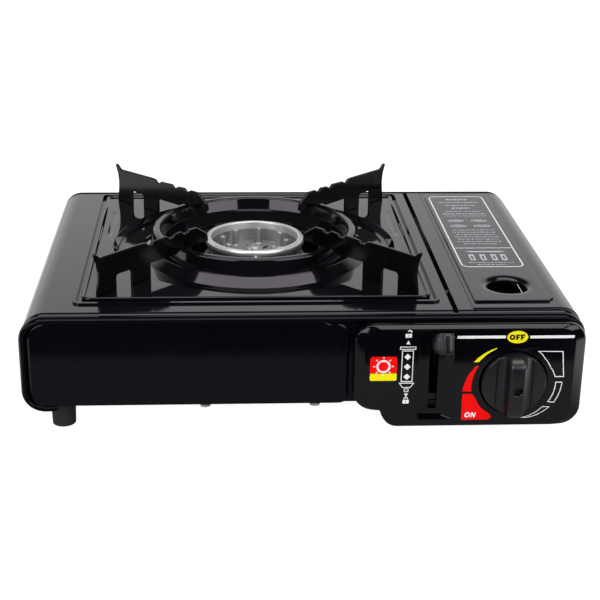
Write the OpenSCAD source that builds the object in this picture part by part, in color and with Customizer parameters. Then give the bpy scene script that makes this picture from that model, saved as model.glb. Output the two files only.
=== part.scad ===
// Butane cassette stove: a sheet steel case with an enamelled drip pan, an aluminium burner,
// a canister bay under a hinged lid, a lock lever, and a gas valve with its knob.
// +X is to the right, +Y to the back and +Z up. The origin is on the table, under the middle.

/* [Case] */
// Width of the case
body_w = 342; // [330:1:360]
// Depth of the case, front face to back face
body_d = 249; // [244:1:262]
// Height of the top face above the table
body_top = 82; // [80:0.5:86]
// Height of the case's underside above the table
body_base = 19.3; // [18:0.1:20.5]
// Height of the canister bay's underside above the table
bay_base = 10.4; // [9:0.1:12]
// Thickness of the sheet steel
sheet = 1; // [0.8:0.1:1.2]
// Radius of the case's corners, seen from the front
corner_r = 14; // [12:0.5:16]
// Radius of the case's front and back edges
edge_r = 5; // [4:0.5:6]
// Width of the left underside that curls in below the base tray
curl_w = 29; // [26:1:34]
// Height of the top sheet's turned-down edges
skirt_h = 20; // [18:1:24]
// How far the front plate's field stands out of its flat part
front_relief = 2; // [1:0.5:3]
// How far the back plate's field stands out of the case
back_relief = 4; // [3:0.5:5]
// Lap of the front and back plates over the case's edge
plate_lap = 0.5; // [0.3:0.1:1]
// Right end of the front plate's raised field, from the case's left side
field_w = 198; // [190:1:199]
// Inset of the back plate's raised field from the case's sides
back_inset = 16; // [12:1:20]
// Number of vent slots in each row of the back plate
vent_count = 6; // [3:1:6]
// Spacing of the vent slots
vent_pitch = 14; // [11:0.5:15]
// Width of a vent slot
vent_w = 4; // [3:0.5:5]

/* [Drip pan] */
// Radius of the drip pan's corners
pan_r = 6; // [4:0.5:9]
// Pan's left edge from the case's left side
pan_from_left = 34.2; // [33.8:0.2:36]
// Pan's front edge from the case's front face
pan_from_front = 24; // [23:0.5:26]
// Pan's right edge from the right end of the case's top
pan_from_seam = 10.1; // [9:0.1:14]
// Pan's back edge from the case's back face
pan_from_back = 12; // [12:0.5:16]
// Height of the pan's flat face above the case's top face
pan_rise = 0.3; // [0:0.1:0.8]
// Height of the pan's rolled rim above its flat face
rim_rise = 1.4; // [1:0.1:2]
// Width of the pan's rolled rim
rim_w = 2.4; // [2:0.2:3]
// Gap between the pan's rim and the sides of its well
well_gap = 2.7; // [2:0.1:3.2]
// Gap between the pan's rim and the front of its well
well_gap_front = 5.4; // [4:0.2:6]
// Gap between the pan's rim and the back of its well
well_gap_back = 2.2; // [1.8:0.1:2.6]
// Radius of the well's corners
well_r = 3; // [2:0.5:6]
// Width of the bead around the well
bead_w = 2; // [1.5:0.1:2.4]
// Height of the bead above the case's top face
bead_h = 1.2; // [0.8:0.1:1.6]
// Width of the ledge that carries the pan's rim
ledge_w = 8.5; // [7:0.5:10]
// Narrowest flat between the pan's edge and the moat
moat_margin = 10; // [8.5:0.5:13]
// Depth of the moat below the pan's flat face
moat_depth = 4; // [3:0.5:5]
// Place of the raised ring's foot, from 0 at the hole to 1 at the moat's edge
ring_foot_part = 0.64; // [0.62:0.01:0.68]
// Radius of the flare at the ring's foot
flare_r = 6; // [4:0.5:6.5]
// Place of the raised ring's crest, from 0 at the hole to 1 at the moat's edge
ring_crest_part = 0.43; // [0.4:0.01:0.44]
// Height of the crest above the pan's flat face
ring_h = 12.3; // [10:0.1:14]
// Radius of the crest's rounding
crest_round = 2.2; // [1.8:0.1:2.6]
// Height of the step inside the ring above the pan's flat face
step_h = 4; // [3:0.5:5]
// Gap between the burner's top ring and the pan's hole
hole_gap = 10; // [9:0.5:13]
// Depth of the hole's edge below the pan's flat face
hole_drop = 1.6; // [0:0.1:3]

/* [Pan supports] */
// Thickness of a pan support's plate
support_t = 2.2; // [1.2:0.1:2.5]
// Height of a support's outer tip above the pan's flat face
support_h = 28; // [24:0.5:32]
// Height of a support's pot edge above the pan's flat face
pot_edge_h = 24.5; // [22:0.5:27]
// Distance of a support's inner end from the edge of the pan's hole
support_gap = 1.3; // [0.5:0.1:4]
// Distance of a support's outer tip from the pan's nearest edge
support_inset = 5.4; // [5:0.1:9]
// Width of each of a support's two legs
leg_w = 16; // [12:0.5:17]
// Height of the window between a support's legs
window_h = 10.2; // [8:0.2:12]
// Depth of the notches in a support's pot edge
notch_h = 2; // [1:0.1:2.5]
// Distances of the three notches from a support's inner end
notch_places = [20.4, 33.2, 51];

/* [Burner] */
// How far the burner stands right of the pan's middle
burner_shift = 0.8; // [0:0.1:2]
// Outer radius of the burner's top ring
burner_r = 34; // [32:0.5:35]
// Height of the burner's top ring above the table
burner_top = 87.3; // [86:0.1:90]
// Width of the burner's top ring
burner_lip = 3; // [2.5:0.1:4]
// Depth from the top ring to the burner's floor
cup_depth = 12.8; // [11:0.1:14]
// Thickness of the burner's floor
floor_t = 1.5; // [1.2:0.1:2.5]
// Number of studs on the burner's floor
stud_count = 8; // [6:1:10]
// Radius of a stud
stud_r = 2.35; // [1.8:0.05:3]
// Height of a stud
stud_h = 11; // [8:0.5:12]
// Radius of the circle of studs
stud_ring_r = 22; // [18:0.5:25]
// Turn of the first stud from the back, clockwise
stud_turn = 9.4; // [0:0.1:45]
// Number of flame ports
port_count = 36; // [24:4:48]
// Outer radius of the burner's mixing chamber
chamber_r = 20; // [18:0.5:22]
// Outer radius of the mixing tube
tube_r = 9.5; // [8:0.5:9.5]
// Wall of the mixing tube
tube_wall = 1.2; // [1:0.1:2]
// Height of the mixing tube's axis above the table
feed_z = 33; // [32.5:0.1:34]
// Width of the strap under the burner
bracket_w = 24; // [20:1:28]
// Gap between the burner's edge and the electrode's axis
electrode_gap = 5.5; // [5:0.1:6.5]

/* [Canister bay] */
// Width of the lid, seam to the right side
lid_w = 77.7; // [76:0.1:80]
// Width of the seam between the case's top and the lid
seam = 3.2; // [1.5:0.1:4]
// Width of the lid's flush strip along the seam
strip_w = 10.7; // [9:0.1:12]
// Gap between the lid's strip and the rims beside it
rim_gap = 0.3; // [0.2:0.1:0.6]
// Width of the front and back rims, behind the case's faces
rim_d = 5.9; // [5.5:0.1:7]
// How far the lid's middle stands above the case's top face
lid_rise = 0.6; // [0.2:0.1:1]
// How far the lid's raised panel stands above the lid's middle
lid_panel_h = 1; // [0.5:0.1:1.5]
// Width of the lid's raised panel
lid_panel_w = 48; // [44:1:50]
// Radius of the sight hole in the lid
sight_r = 12.65; // [11:0.05:14]
// Radius of the dimple around the sight hole
dimple_r = 16; // [15.2:0.1:18]
// Sight hole's centre from the case's front face
sight_from_front = 41.5; // [38:0.5:46]
// Height of the hinge axis above the table
hinge_z = 32; // [31:0.5:36]
// Radius of the hinge rod
rod_r = 1.25; // [1:0.05:1.4]
// Radial clearance of a pin that turns in its hole
run_gap = 0.05; // [0.03:0.01:0.08]
// Wall of a hinge knuckle around its rod
knuckle_wall = 1.4; // [1.2:0.1:1.6]
// Length of a hinge knuckle
knuckle_l = 22; // [16:1:26]
// Radius of the gas canister that the bay holds
canister_r = 33; // [32:0.5:33.5]
// Height of the canister's axis above the table
canister_z = 46.5; // [46:0.5:47]
// Distance of the canister's axis from the case's right side
canister_from_right = 39.3; // [38.5:0.1:40]
// Radius of the valve's casting
valve_r = 23; // [22:0.5:24]

/* [Control panel] */
// How far the panel's face stands in front of the case's front face
panel_proud = 11; // [10:0.5:12]
// Wall of the panel
panel_wall = 2; // [1.6:0.1:2.4]
// Panel's left end from the case's left side
panel_from_left = 200; // [198:0.5:204]
// Height of the panel's top edge above the table
panel_top = 78; // [76:0.5:79]
// Width of the bevel at the panel's left end
bevel_left = 6; // [4:0.5:8]
// Width of the bevel at the panel's right end
bevel_right = 8.5; // [6:0.5:10]
// Height of the step at the panel's lower left
step_z = 21.6; // [20:0.2:23]
// Width of the step at the panel's lower left
step_w = 12; // [10:0.5:14]
// Depth of the lever's recess in the panel
recess_d = 6; // [4:0.5:6.5]
// Width of the lever's slot
slot_w = 5.5; // [4:0.1:7]

/* [Knob] */
// Distance of the knob's axis from the case's right side
knob_from_right = 43.8; // [43:0.1:45]
// Height of the knob's axis above the table
knob_z = 40; // [39.5:0.1:41]
// Radius of the knob
knob_r = 20; // [18:0.5:20.4]
// Width of the knob's grip
grip_w = 10.5; // [8:0.5:13]
// How far the knob stands in front of the panel's face
knob_proud = 14; // [12:0.5:16]
// Radius of the screw hole in the grip
knob_hole_r = 2.9; // [2.6:0.1:3.4]
// Radius of the valve spindle
spindle_r = 3; // [2.6:0.1:3.4]
// How far the knob's flat sides stand in front of the panel
knob_side_proud = 2.5; // [2:0.1:3.5]
// Radius of the scoops beside the knob's grip
scoop_r = 5.25; // [4:0.25:6]
// Turn of the knob from OFF to full ON
knob_travel = 140; // [120:5:150]
// Radius of the knob's screw
screw_r = 1.5; // [1.2:0.1:1.8]

/* [Lock lever] */
// Distance of the lever's arm from the case's right side
lever_from_right = 92.7; // [92.2:0.1:93.2]
// Thickness of the lever's arm
lever_t = 2; // [1.6:0.1:2.4]
// Distance of the lever's pivot behind the case's front face
pivot_back = 34; // [33:0.5:35]
// Height of the lever's pivot above the table
pivot_z = 49; // [48:0.5:50]
// Turn of the lever to each side of its middle position
lever_swing = 21; // [18:1:22]
// Room between the lever's bracket and the canister tray's left wall
bracket_room = 14.7; // [14:0.1:16]
// Radius of the lever's pivot pin
pivot_r = 2; // [1.6:0.1:2.2]
// Radius at which the lever drives the canister pusher
drive_arm = 10; // [8:0.5:10.5]
// Width of the lever's cap
cap_w = 13.3; // [11:0.1:14]
// Height of the lever's cap
cap_h = 13.5; // [11:0.5:14]
// Depth of the lever's cap
cap_d = 13; // [11:0.5:13.5]

/* [Feet] */
// Radius of a foot at its top
foot_r = 8.2; // [6:0.1:9]
// Distance of the feet from the case's left and right sides
foot_inset_x = 20.6; // [20:0.1:26]
// Distance of the feet from the case's front and back faces
foot_inset_y = 23; // [14:0.5:24]

/* [Hidden] */
$fn = 96;
eps = 0.01;

// Places across the case
x_right = body_w / 2;
x_left = -x_right;
front_proud = panel_proud + knob_proud;
y_front = (front_proud - body_d - back_relief) / 2;
y_back = y_front + body_d;
plate_y = y_front - sheet;
seam_x = x_right - lid_w;
casing_end = seam_x - seam;
strip_end = seam_x + strip_w;
under = bay_base + sheet;
base_z = body_base + sheet;
plate_low = base_z + 0.7;
plate_r = corner_r - edge_r;
seam_wall_h = 8;
tray_edge_h = 12;
back_field_z = [base_z + 10, body_top - 15];
back_field_r = 8;
vent_z = [back_field_z[0] + 4, back_field_z[1] - 7];
vent_rows = [x_left + 52, x_right - 112];
air_slots = [38, 62];

// Drip pan and burner
pan_z = body_top + pan_rise;
pan_lo = [x_left + pan_from_left, y_front + pan_from_front];
pan_hi = [casing_end - pan_from_seam, y_back - pan_from_back];
pan_half = min(pan_hi[0] - pan_lo[0], pan_hi[1] - pan_lo[1]) / 2;
well_lo = pan_lo - [well_gap, well_gap_front];
well_hi = pan_hi + [well_gap, well_gap_back];
ledge_z = body_top - 1.2;
burner_xy = (pan_lo + pan_hi) / 2 + [burner_shift, 0];
pan_hole_r = burner_r + hole_gap;
moat_r = pan_half - moat_margin;
ring_foot_r = pan_hole_r + ring_foot_part * (moat_r - pan_hole_r);
ring_crest_r = pan_hole_r + ring_crest_part * (moat_r - pan_hole_r);
floor_z = burner_top - cup_depth;
chamber_top = floor_z - floor_t;
bracket_z = base_z + sheet + 1.2;
bracket_t = 1.5;
bracket_half = burner_r + 10;
bracket_leg = 8;
chamber_base = bracket_z + bracket_t;
chamber_wall = 3;
socket_l = 34;
clip_z = 56;
electrode_back = burner_r + electrode_gap;
clip_t = 1.2;

// Pan supports: x is the distance from the burner's centre, y the height over the pan
support_in_r = pan_hole_r + support_gap;
support_out_r = (pan_half - support_inset) * sqrt(2);
leg_out = support_out_r - 1.5;
leg_mid = leg_out - leg_w;
leg_in = moat_r + 0.3;
window_r = 2;

// Feed line from the valve's outlet to the burner
outlet_xy = [x_right - 55, y_front + 32];
feed_vec = outlet_xy - burner_xy;
feed_l = norm(feed_vec);
feed_a = atan2(feed_vec[1], feed_vec[0]);
tube_end = feed_l - 43.7;
jet_tip = tube_end + 3.6;
jet_end = feed_l - 16;
jet_r = 3;
jet_hex_r = 5;

// Canister bay
canister_x = x_right - canister_from_right;
lid_top = body_top + lid_rise;
lid_y = [y_front + rim_d + rim_gap, y_back - rim_d - rim_gap];
lid_panel_z = lid_top + lid_panel_h;
sight_xy = [canister_x - 1, y_front + sight_from_front];
knuckle_r = rod_r + run_gap + knuckle_wall;
knuckle_gap = 0.4;
hinge_x = x_right - knuckle_r;
sweep_r = norm([hinge_x - strip_end, body_top - hinge_z]);
knuckle_pairs = [y_front + 20, (y_front + y_back) / 2 - knuckle_l, y_back - 20 - 2 * knuckle_l];
bay_wall_z = hinge_z - 4;
part_x = casing_end - 2 * sheet;
panel_lo = [strip_end + 4, y_front + 17.8];
panel_hi = [panel_lo[0] + lid_panel_w, y_back - 17];
heat_y = [burner_xy[1] + 20, burner_xy[1] + 50];
heat_z = 58;
heat_x = canister_x - canister_r - 2;

// Valve and its cover
valve_y = [y_front + 14, y_front + 40];
cover_y = valve_y[0] - 4;
cover_lap = 1.5;
cover_screw_r = 1.2;
cover_screw_ring = valve_r - 4;
seat_r = 13;
seat_l = 6;
seal_r = 7.6;
seal_t = 2.5;
valve_foot_w = 20;
valve_foot_z = 20;
spindle_l = 12;

// Knob and igniter
knob_x = x_right - knob_from_right;
panel_y = y_front - panel_proud;
knob_recess_r = knob_r + 1;
screw_seat = 9;
cam_r = 8;
cam_rise = 3;
cam_y = [y_front + 1.5, y_front + 6.9];
plunger_y = (cam_y[0] + cam_y[1]) / 2;
plunger_r = 2.5;
plunger_l = 12.7;
plunger_gap = 0.3;
piezo_z = knob_z + cam_r + 5.5;
piezo_w = 12;
piezo_h = 22;

// Lock lever and pusher
lever_x = x_right - lever_from_right;
pivot_y = y_front + pivot_back;
cap_back = pivot_back + panel_proud + 0.5;
lever_recess_x = [lever_x - 9.5, lever_x + 11.6];
lever_recess_z = [bay_base + 5.3, pivot_z + 25.3];
slot_z = [pivot_z - 28, pivot_z + 24];
arm_h = 9;
arm_root = 7;
hub_r = 6;
drive_pin_r = 1.5;
cheek_x = [lever_x - 5.6, lever_x + 5.8];
cheek_t = 1.2;
tray_x = cheek_x[0] - bracket_room;
pusher_z = under + 0.1;
pusher_t = 1;
pusher_w = 14;
pusher_travel = 2 * drive_arm * sin(lever_swing);
riser_x = [lever_x + lever_t / 2 + 1.2, lever_x + lever_t / 2 + 2.7];
riser_y = [pivot_y + 50, pivot_y + 58];
riser_z = [pivot_z + 3.5, pivot_z + 17];
drive_rest = [pivot_y + drive_arm * sin(lever_swing), pivot_z + drive_arm * cos(lever_swing)];

// Screws under the base tray
base_screw_r = 1.6;
base_screw_head_r = 3.2;
base_screw_head_t = 1.5;
base_screw_places = [for (part = [0.405, 0.745], y = [y_front + edge_r + 1, y_back - edge_r - 1])
    [x_left + curl_w + part * (tray_x - x_left - curl_w), y]];

// Ignition wire: from the igniter, along the partition and over it, to the electrode
wire_r = 1.1;
wire_route = [[x_right - 49.8, y_front + 4.2, 70], [x_right - 54, y_front + 4.5, 70],
    [x_right - 60, y_front + 6, 69], [x_right - 68, y_front + 11, 67],
    [x_right - 75, y_front + 20, 68], [x_right - 77, y_front + 32, 70],
    [x_right - 77.5, y_front + 44, 71], [x_right - 78, y_front + 54, 71.4],
    [x_right - 80, y_front + 61, 71.4], [x_right - 86, y_front + 65, 71],
    [x_right - 96, y_front + 68, 70], [burner_xy[0] + 84, burner_xy[1] - 58, 68],
    [burner_xy[0] + 66, burner_xy[1] - 52, 65], [burner_xy[0] + 46, burner_xy[1] - 47, 60],
    [burner_xy[0] + 28, burner_xy[1] - 43, 55], [burner_xy[0] + 14, burner_xy[1] - 41, 50],
    [burner_xy[0] + 5, burner_xy[1] - 40, 47], [burner_xy[0] + 1, burner_xy[1] - electrode_back - 0.1, 49],
    [burner_xy[0], burner_xy[1] - electrode_back, 52], [burner_xy[0], burner_xy[1] - electrode_back, clip_z]];

// ---------- helpers ----------

// Box between two corners
module box(lo, hi) translate(lo) cube(hi - lo);

// Shape in X and Z, extruded in Y
module along_y(y0, y1) translate([0, y1, 0]) rotate([90, 0, 0]) linear_extrude(y1 - y0) children();

// Shape in Y and Z, extruded in X
module along_x(x0, x1) translate([x0, 0, 0]) rotate([90, 0, 90]) linear_extrude(x1 - x0) children();

// Shape in X and Y, extruded in Z
module along_z(z0, z1) translate([0, 0, z0]) linear_extrude(z1 - z0) children();

// Quarter of a disc
module pie(r) intersection() {
    circle(r);
    square(r + 1);
}

// Rectangle with round corners
module round_rect(lo, hi, r) {
    translate(lo + [r, 0]) square(hi - lo - [2 * r, 0]);
    translate(lo + [0, r]) square(hi - lo - [0, 2 * r]);
    for (x = [lo[0] + r, hi[0] - r], y = [lo[1] + r, hi[1] - r]) translate([x, y]) circle(r);
}

// Rectangle with only its upper right corner round
module round_top_right(lo, hi, r) {
    translate(lo) square(hi - lo - [r, 0]);
    translate(lo) square(hi - lo - [0, r]);
    translate(hi - [r, r]) circle(r);
}

// Cross-section of a soft slab's edge: x is outward and y is its depth
module edge_profile(rc, d, rf, rb) {
    square([rc - max(rf, rb), d]);
    translate([rc - max(rf, rb), rf]) square([max(rf, rb), d - rf - rb]);
    if (rf > 0) translate([rc - rf, rf]) rotate(-90) pie(rf);
    if (rb > 0) translate([rc - rb, d - rb]) pie(rb);
}

// Slab seen from the front: corners rc, front edge rounded by rf and back edge by rb
module soft_slab(lo, hi, rc, rf, rb) {
    d = hi[1] - lo[1];
    w = hi[0] - lo[0] - 2 * rc;
    h = hi[2] - lo[2] - 2 * rc;
    ends = [[hi[0] - rc, hi[2] - rc], [lo[0] + rc, hi[2] - rc],
        [lo[0] + rc, lo[2] + rc], [hi[0] - rc, lo[2] + rc]];
    box([lo[0] + rc, lo[1], lo[2] + rc], [hi[0] - rc, hi[1], hi[2] - rc]);
    for (k = [0:3]) {
        c = ends[k];
        s = ends[(k + 3) % 4];
        translate([c[0], lo[1], c[1]]) rotate([0, -90 * (k + 1), 0]) rotate([-90, 0, 0])
            rotate_extrude(angle = 90) edge_profile(rc, d, rf, rb);
        translate([s[0], lo[1], s[1]]) rotate([0, -90 * k, 0])
            linear_extrude(k % 2 == 0 ? h : w) edge_profile(rc, d, rf, rb);
    }
}

// Points of an arc in a plane
function arc(c, r, a0, a1, n) = [for (i = [0:n]) let (a = a0 + (a1 - a0) * i / n) c + r * [cos(a), sin(a)]];

// Closed pressed skin of the whole case, open at the front and the back
module case_skin() difference() {
    soft_slab([x_left, y_front, body_base], [x_right, y_back, body_top], corner_r, edge_r, edge_r);
    soft_slab([x_left + sheet, y_front + sheet, body_base + sheet],
        [x_right - sheet, y_back - sheet, body_top - sheet],
        corner_r - sheet, edge_r - sheet, edge_r - sheet);
    along_y(y_front - 1, y_back + 1) round_rect([x_left + edge_r, body_base + edge_r],
        [x_right - edge_r, body_top - edge_r], plate_r);
}

// Frame of reference at the burner's centre, on the table
module at_burner() translate([burner_xy[0], burner_xy[1], 0]) children();

// Cylinder along the feed line, between two distances from the burner's centre
module on_feed(s0, s1, r) at_burner() translate([0, 0, feed_z]) rotate([0, 90, feed_a]) translate([0, 0, s0])
    cylinder(h = s1 - s0, r = r);

// Cylinder along Y at a place seen from the front
module pin_y(x, z, y0, y1, r) translate([x, y1, z]) rotate([90, 0, 0]) cylinder(h = y1 - y0, r = r);

// Cylinder along X at a place seen from the side
module pin_x(y, z, x0, x1, r) translate([x0, y, z]) rotate([0, 90, 0]) cylinder(h = x1 - x0, r = r);

// ---------- case ----------

// Top and left side in one sheet, with the pan's well and its ledge
module casing() color([0.05, 0.05, 0.06]) difference() {
    union() {
        intersection() {
            case_skin();
            union() {
                box([x_left - 1, y_front - 1, body_top - skirt_h], [casing_end, y_back + 1, body_top + 1]);
                box([x_left - 1, y_front - 1, body_base - 1],
                    [x_left + curl_w, y_back + 1, body_top - skirt_h + 1]);
            }
        }
        along_z(ledge_z - sheet, body_top + bead_h)
            round_rect(well_lo - [bead_w, bead_w], well_hi + [bead_w, bead_w], well_r + bead_w);
        box([casing_end - sheet, y_front + edge_r, body_top - seam_wall_h],
            [casing_end, y_back - edge_r, body_top - sheet / 2]);
    }
    along_z(ledge_z, body_top + bead_h + 1) round_rect(well_lo, well_hi, well_r);
    along_z(body_top - skirt_h, body_top)
        round_rect(well_lo + [ledge_w, ledge_w], well_hi - [ledge_w, ledge_w], pan_r);
}

// Outline of the front and back plates
module plate_outline() round_rect([x_left + edge_r - plate_lap, plate_low],
    [x_right - edge_r + plate_lap, body_top - edge_r + plate_lap], plate_r);

// Front plate: a raised field at the left, and a flat part that the control panel covers
module front_plate() color([0.03, 0.03, 0.04]) difference() {
    union() {
        along_y(plate_y, y_front) plate_outline();
        soft_slab([x_left + edge_r - plate_lap, plate_y - front_relief, plate_low],
            [x_left + field_w, y_front, body_top - edge_r + plate_lap], plate_r, front_relief + 0.5, 0);
    }
    soft_slab([x_left + edge_r + sheet, plate_y - front_relief + sheet, plate_low + 2 * sheet],
        [x_left + field_w - 2 * sheet, y_front + 1, body_top - edge_r - sheet],
        plate_r - sheet, front_relief, 0);
    pin_y(knob_x, knob_z, plate_y - 1, y_front + 1, spindle_r + 2);
    box([lever_x - slot_w / 2 - 2.2, plate_y - 1, slot_z[0] + 3],
        [lever_x + slot_w / 2 + 2.2, y_front + 1, slot_z[1]]);
}

// Back plate: one raised field, with vent slots
module back_plate() color([0.03, 0.03, 0.04]) difference() {
    union() {
        along_y(y_back, y_back + sheet) plate_outline();
        soft_slab([x_left + back_inset, y_back, back_field_z[0]],
            [x_right - back_inset, y_back + back_relief, back_field_z[1]],
            back_field_r, 0, back_relief - sheet);
    }
    soft_slab([x_left + back_inset + sheet, y_back - 1, back_field_z[0] + sheet],
        [x_right - back_inset - sheet, y_back + back_relief - sheet, back_field_z[1] - sheet],
        back_field_r - sheet, 0, back_relief - 2 * sheet);
    for (i = [0:vent_count - 1], x0 = vent_rows)
        along_y(y_back - 1, y_back + back_relief + 1)
            round_rect([x0 + vent_pitch * i, vent_z[0]], [x0 + vent_pitch * i + vent_w, vent_z[1]],
                vent_w / 2 - 0.1);
}

// Base tray under the burner, with turned-up ends and air slots
module base_tray() color([0.1, 0.1, 0.11]) difference() {
    union() {
        box([x_left + curl_w + 0.5, y_front, base_z], [tray_x, y_back, base_z + sheet]);
        box([x_left + corner_r, y_front + edge_r, base_z],
            [x_left + curl_w + 1, y_back - edge_r, base_z + sheet]);
        for (y = [y_front, y_back - sheet])
            box([x_left + curl_w + 0.5, y, base_z], [tray_x, y + sheet, base_z + tray_edge_h]);
    }
    for (k = [0:5]) at_burner() rotate(60 * k + 30) along_z(base_z - 1, base_z + sheet + 1)
        round_rect([air_slots[0], -4], [air_slots[1], 4], 3.9);
    for (p = base_screw_places) translate(p) cylinder(h = 60, r = base_screw_r + run_gap, center = true);
}

// Cross-section of the canister tray, s inside its outer face
module bay_section(s) round_rect([tray_x + s, bay_base + s], [x_right - s, 2 * hinge_z], corner_r - 1 - s);

// Deep tray that carries the canister, with the fixed knuckles of the lid's hinge
module canister_tray() color([0.1, 0.1, 0.11]) difference() {
    union() {
        intersection() {
            union() {
                along_y(y_front, y_back) difference() {
                    bay_section(0);
                    bay_section(sheet);
                }
                for (y = [y_front, y_back - sheet]) along_y(y, y + sheet) bay_section(0);
            }
            union() {
                box([tray_x - 1, y_front - 1, bay_base - 1], [tray_x + 2 * corner_r, y_back + 1, base_z]);
                box([tray_x + corner_r + sheet, y_front - 1, bay_base - 1],
                    [x_right + 1, y_back + 1, bay_wall_z]);
                for (y = knuckle_pairs)
                    box([x_right - 5, y, bay_base], [x_right + 1, y + knuckle_l, hinge_z]);
            }
        }
        box([tray_x - 10, y_front, base_z - sheet], [tray_x + sheet, y_back, base_z]);
        for (y = knuckle_pairs) pin_y(hinge_x, hinge_z, y, y + knuckle_l, knuckle_r);
    }
    pin_y(hinge_x, hinge_z, y_front, y_back, rod_r + run_gap);
}

// Heat shield between the burner and the canister
module partition() color([0.45, 0.46, 0.48]) difference() {
    box([part_x, y_front + edge_r, under], [part_x + sheet, y_back - edge_r, body_top - sheet]);
    box([part_x - 1, riser_y[0] - pusher_travel - 2, under - 1],
        [part_x + 3, riser_y[1] + 1.5, pusher_z + pusher_t + 1.1]);
    box([part_x - 1, heat_y[0] - 0.5, heat_z], [part_x + 3, heat_y[1] + 0.5, heat_z + sheet + 0.5]);
    on_feed(jet_tip, jet_end, jet_hex_r + 3);
    pin_x(y_front + 63.5, 71.3, part_x - 1, part_x + 3, wire_r + 1.9);
    for (k = [0:4]) along_x(part_x - 1, part_x + 3)
        round_rect([heat_y[1] + 10 + 11 * k, 34], [heat_y[1] + 14 + 11 * k, 62], 1.9);
}

// Fixed rim beside the lid, which follows the case's rounded edge
module bay_rim(y0, y1) color([0.04, 0.04, 0.05]) intersection() {
    case_skin();
    box([seam_x, y0, hinge_z + 1], [x_right + 1, y1, body_top + 1]);
    pin_y(hinge_x, hinge_z, y0, y1, sweep_r - rim_gap / 2);
}
module bay_front_rim() bay_rim(y_front - 1, y_front + rim_d);
module bay_rear_rim() bay_rim(y_back - rim_d, y_back + 1);

// ---------- lid ----------

// The lid's flush strip along the seam, with ends that clear the fixed rims
module lid_strip() difference() {
    intersection() {
        case_skin();
        box([seam_x, y_front - 1, body_top - edge_r + 0.4], [strip_end, y_back + 1, body_top + 1]);
    }
    for (y = [[y_front - 1, lid_y[0]], [lid_y[1], y_back + 1]])
        pin_y(hinge_x, hinge_z, y[0], y[1], sweep_r + rim_gap / 2);
}

// Drawn edge of the sight hole
module sight_ring() translate([sight_xy[0], sight_xy[1], 0]) rotate_extrude()
    polygon([[sight_r, lid_top - 2], [sight_r + sheet, lid_top - 2], [sight_r + sheet, lid_top - 1],
        [dimple_r + 0.4, lid_panel_z - sheet], [dimple_r + 0.4, lid_panel_z],
        [dimple_r - 0.8, lid_panel_z], [sight_r, lid_top - 0.6]]);

// Lid over the canister: the flush strip, a raised panel, and a sight hole
module canister_lid() color([0.06, 0.06, 0.07]) {
    difference() {
        union() {
            lid_strip();
            along_y(lid_y[0], lid_y[1]) difference() {
                round_top_right([strip_end - sheet, hinge_z], [x_right, lid_top], corner_r);
                round_top_right([strip_end - 2 * sheet, hinge_z - 1], [x_right - sheet, lid_top - sheet],
                    corner_r - sheet);
            }
            box([seam_x, lid_y[0], body_top - seam_wall_h], [seam_x + sheet, lid_y[1], body_top - sheet / 2]);
            along_z(lid_top - sheet / 2, lid_panel_z) round_rect(panel_lo, panel_hi, 4);
            for (y = knuckle_pairs)
                pin_y(hinge_x, hinge_z, y + knuckle_l + knuckle_gap, y + 2 * knuckle_l, knuckle_r);
        }
        along_z(lid_top - 2 * sheet, lid_panel_z - sheet)
            round_rect(panel_lo + [sheet, sheet], panel_hi - [sheet, sheet], 3);
        translate([sight_xy[0], sight_xy[1], lid_top - 5]) cylinder(h = 10, r = dimple_r);
        for (y = knuckle_pairs) box([x_right - 6, y - knuckle_gap, hinge_z - 5],
            [x_right + 1, y + knuckle_l + knuckle_gap, hinge_z + 4.2]);
        pin_y(hinge_x, hinge_z, y_front, y_back, rod_r + run_gap);
    }
    sight_ring();
}

// Rod that all of the hinge's knuckles turn on
module lid_hinge_rod() color([0.6, 0.6, 0.62])
    pin_y(hinge_x, hinge_z, knuckle_pairs[0] - 2, knuckle_pairs[2] + 2 * knuckle_l + 2, rod_r);

// ---------- drip pan ----------

// Upper surface of the pressed ring, from the moat's rim to the hole
ring_top = concat([[moat_r + 2, pan_z], [moat_r, pan_z], [moat_r - 3, pan_z - moat_depth + 0.6],
        [moat_r - 5, pan_z - moat_depth]],
    arc([ring_foot_r, pan_z - moat_depth + flare_r], flare_r, 270, 195, 6),
    arc([ring_crest_r, pan_z + ring_h - crest_round], crest_round, 15, 165, 8),
    [[ring_crest_r - 4.2, pan_z + step_h + 0.6], [ring_crest_r - 5.8, pan_z + step_h - 0.4],
        [pan_hole_r + 6, pan_z - hole_drop + 1], [pan_hole_r + 0.8, pan_z - hole_drop + 0.6],
        [pan_hole_r, pan_z - hole_drop]]);

// Points of a path moved to its left by t, with mitred corners
function beside(p, t) = let (n = len(p)) [for (i = [0:n - 1]) let (
    u = unit(p[max(i, 1)] - p[max(i, 1) - 1]),
    v = unit(p[min(i, n - 2) + 1] - p[min(i, n - 2)]),
    s = u + v) p[i] + 2 * t / (s * s) * [-s[1], s[0]]];
ring_side = beside(ring_top, sheet);
ring_under = [for (i = [len(ring_side) - 1:-1:0]) ring_side[i]];

// Outline of the pan, s inside its edge
module pan_outline(s) round_rect(pan_lo + [s, s], pan_hi - [s, s], pan_r - s);

// Enamelled pan with a rolled rim, a moat, and a raised ring around the burner
module drip_pan() color([0.04, 0.04, 0.05]) {
    difference() {
        along_z(ledge_z, pan_z + rim_rise) pan_outline(0);
        along_z(pan_z, pan_z + rim_rise + 1) pan_outline(rim_w);
        along_z(ledge_z - 1, pan_z - sheet) pan_outline(rim_w);
        at_burner() cylinder(h = 200, r = moat_r, center = true);
    }
    at_burner() rotate_extrude() polygon(concat(ring_top, ring_under));
}

// Notch in a support's pot edge, at a distance from the burner's centre
function notch(r) = [[r + 3.4, pot_edge_h], [r + 1.2, pot_edge_h - notch_h],
    [r - 0.6, pot_edge_h - notch_h], [r - 3, pot_edge_h - 0.4]];

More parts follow.
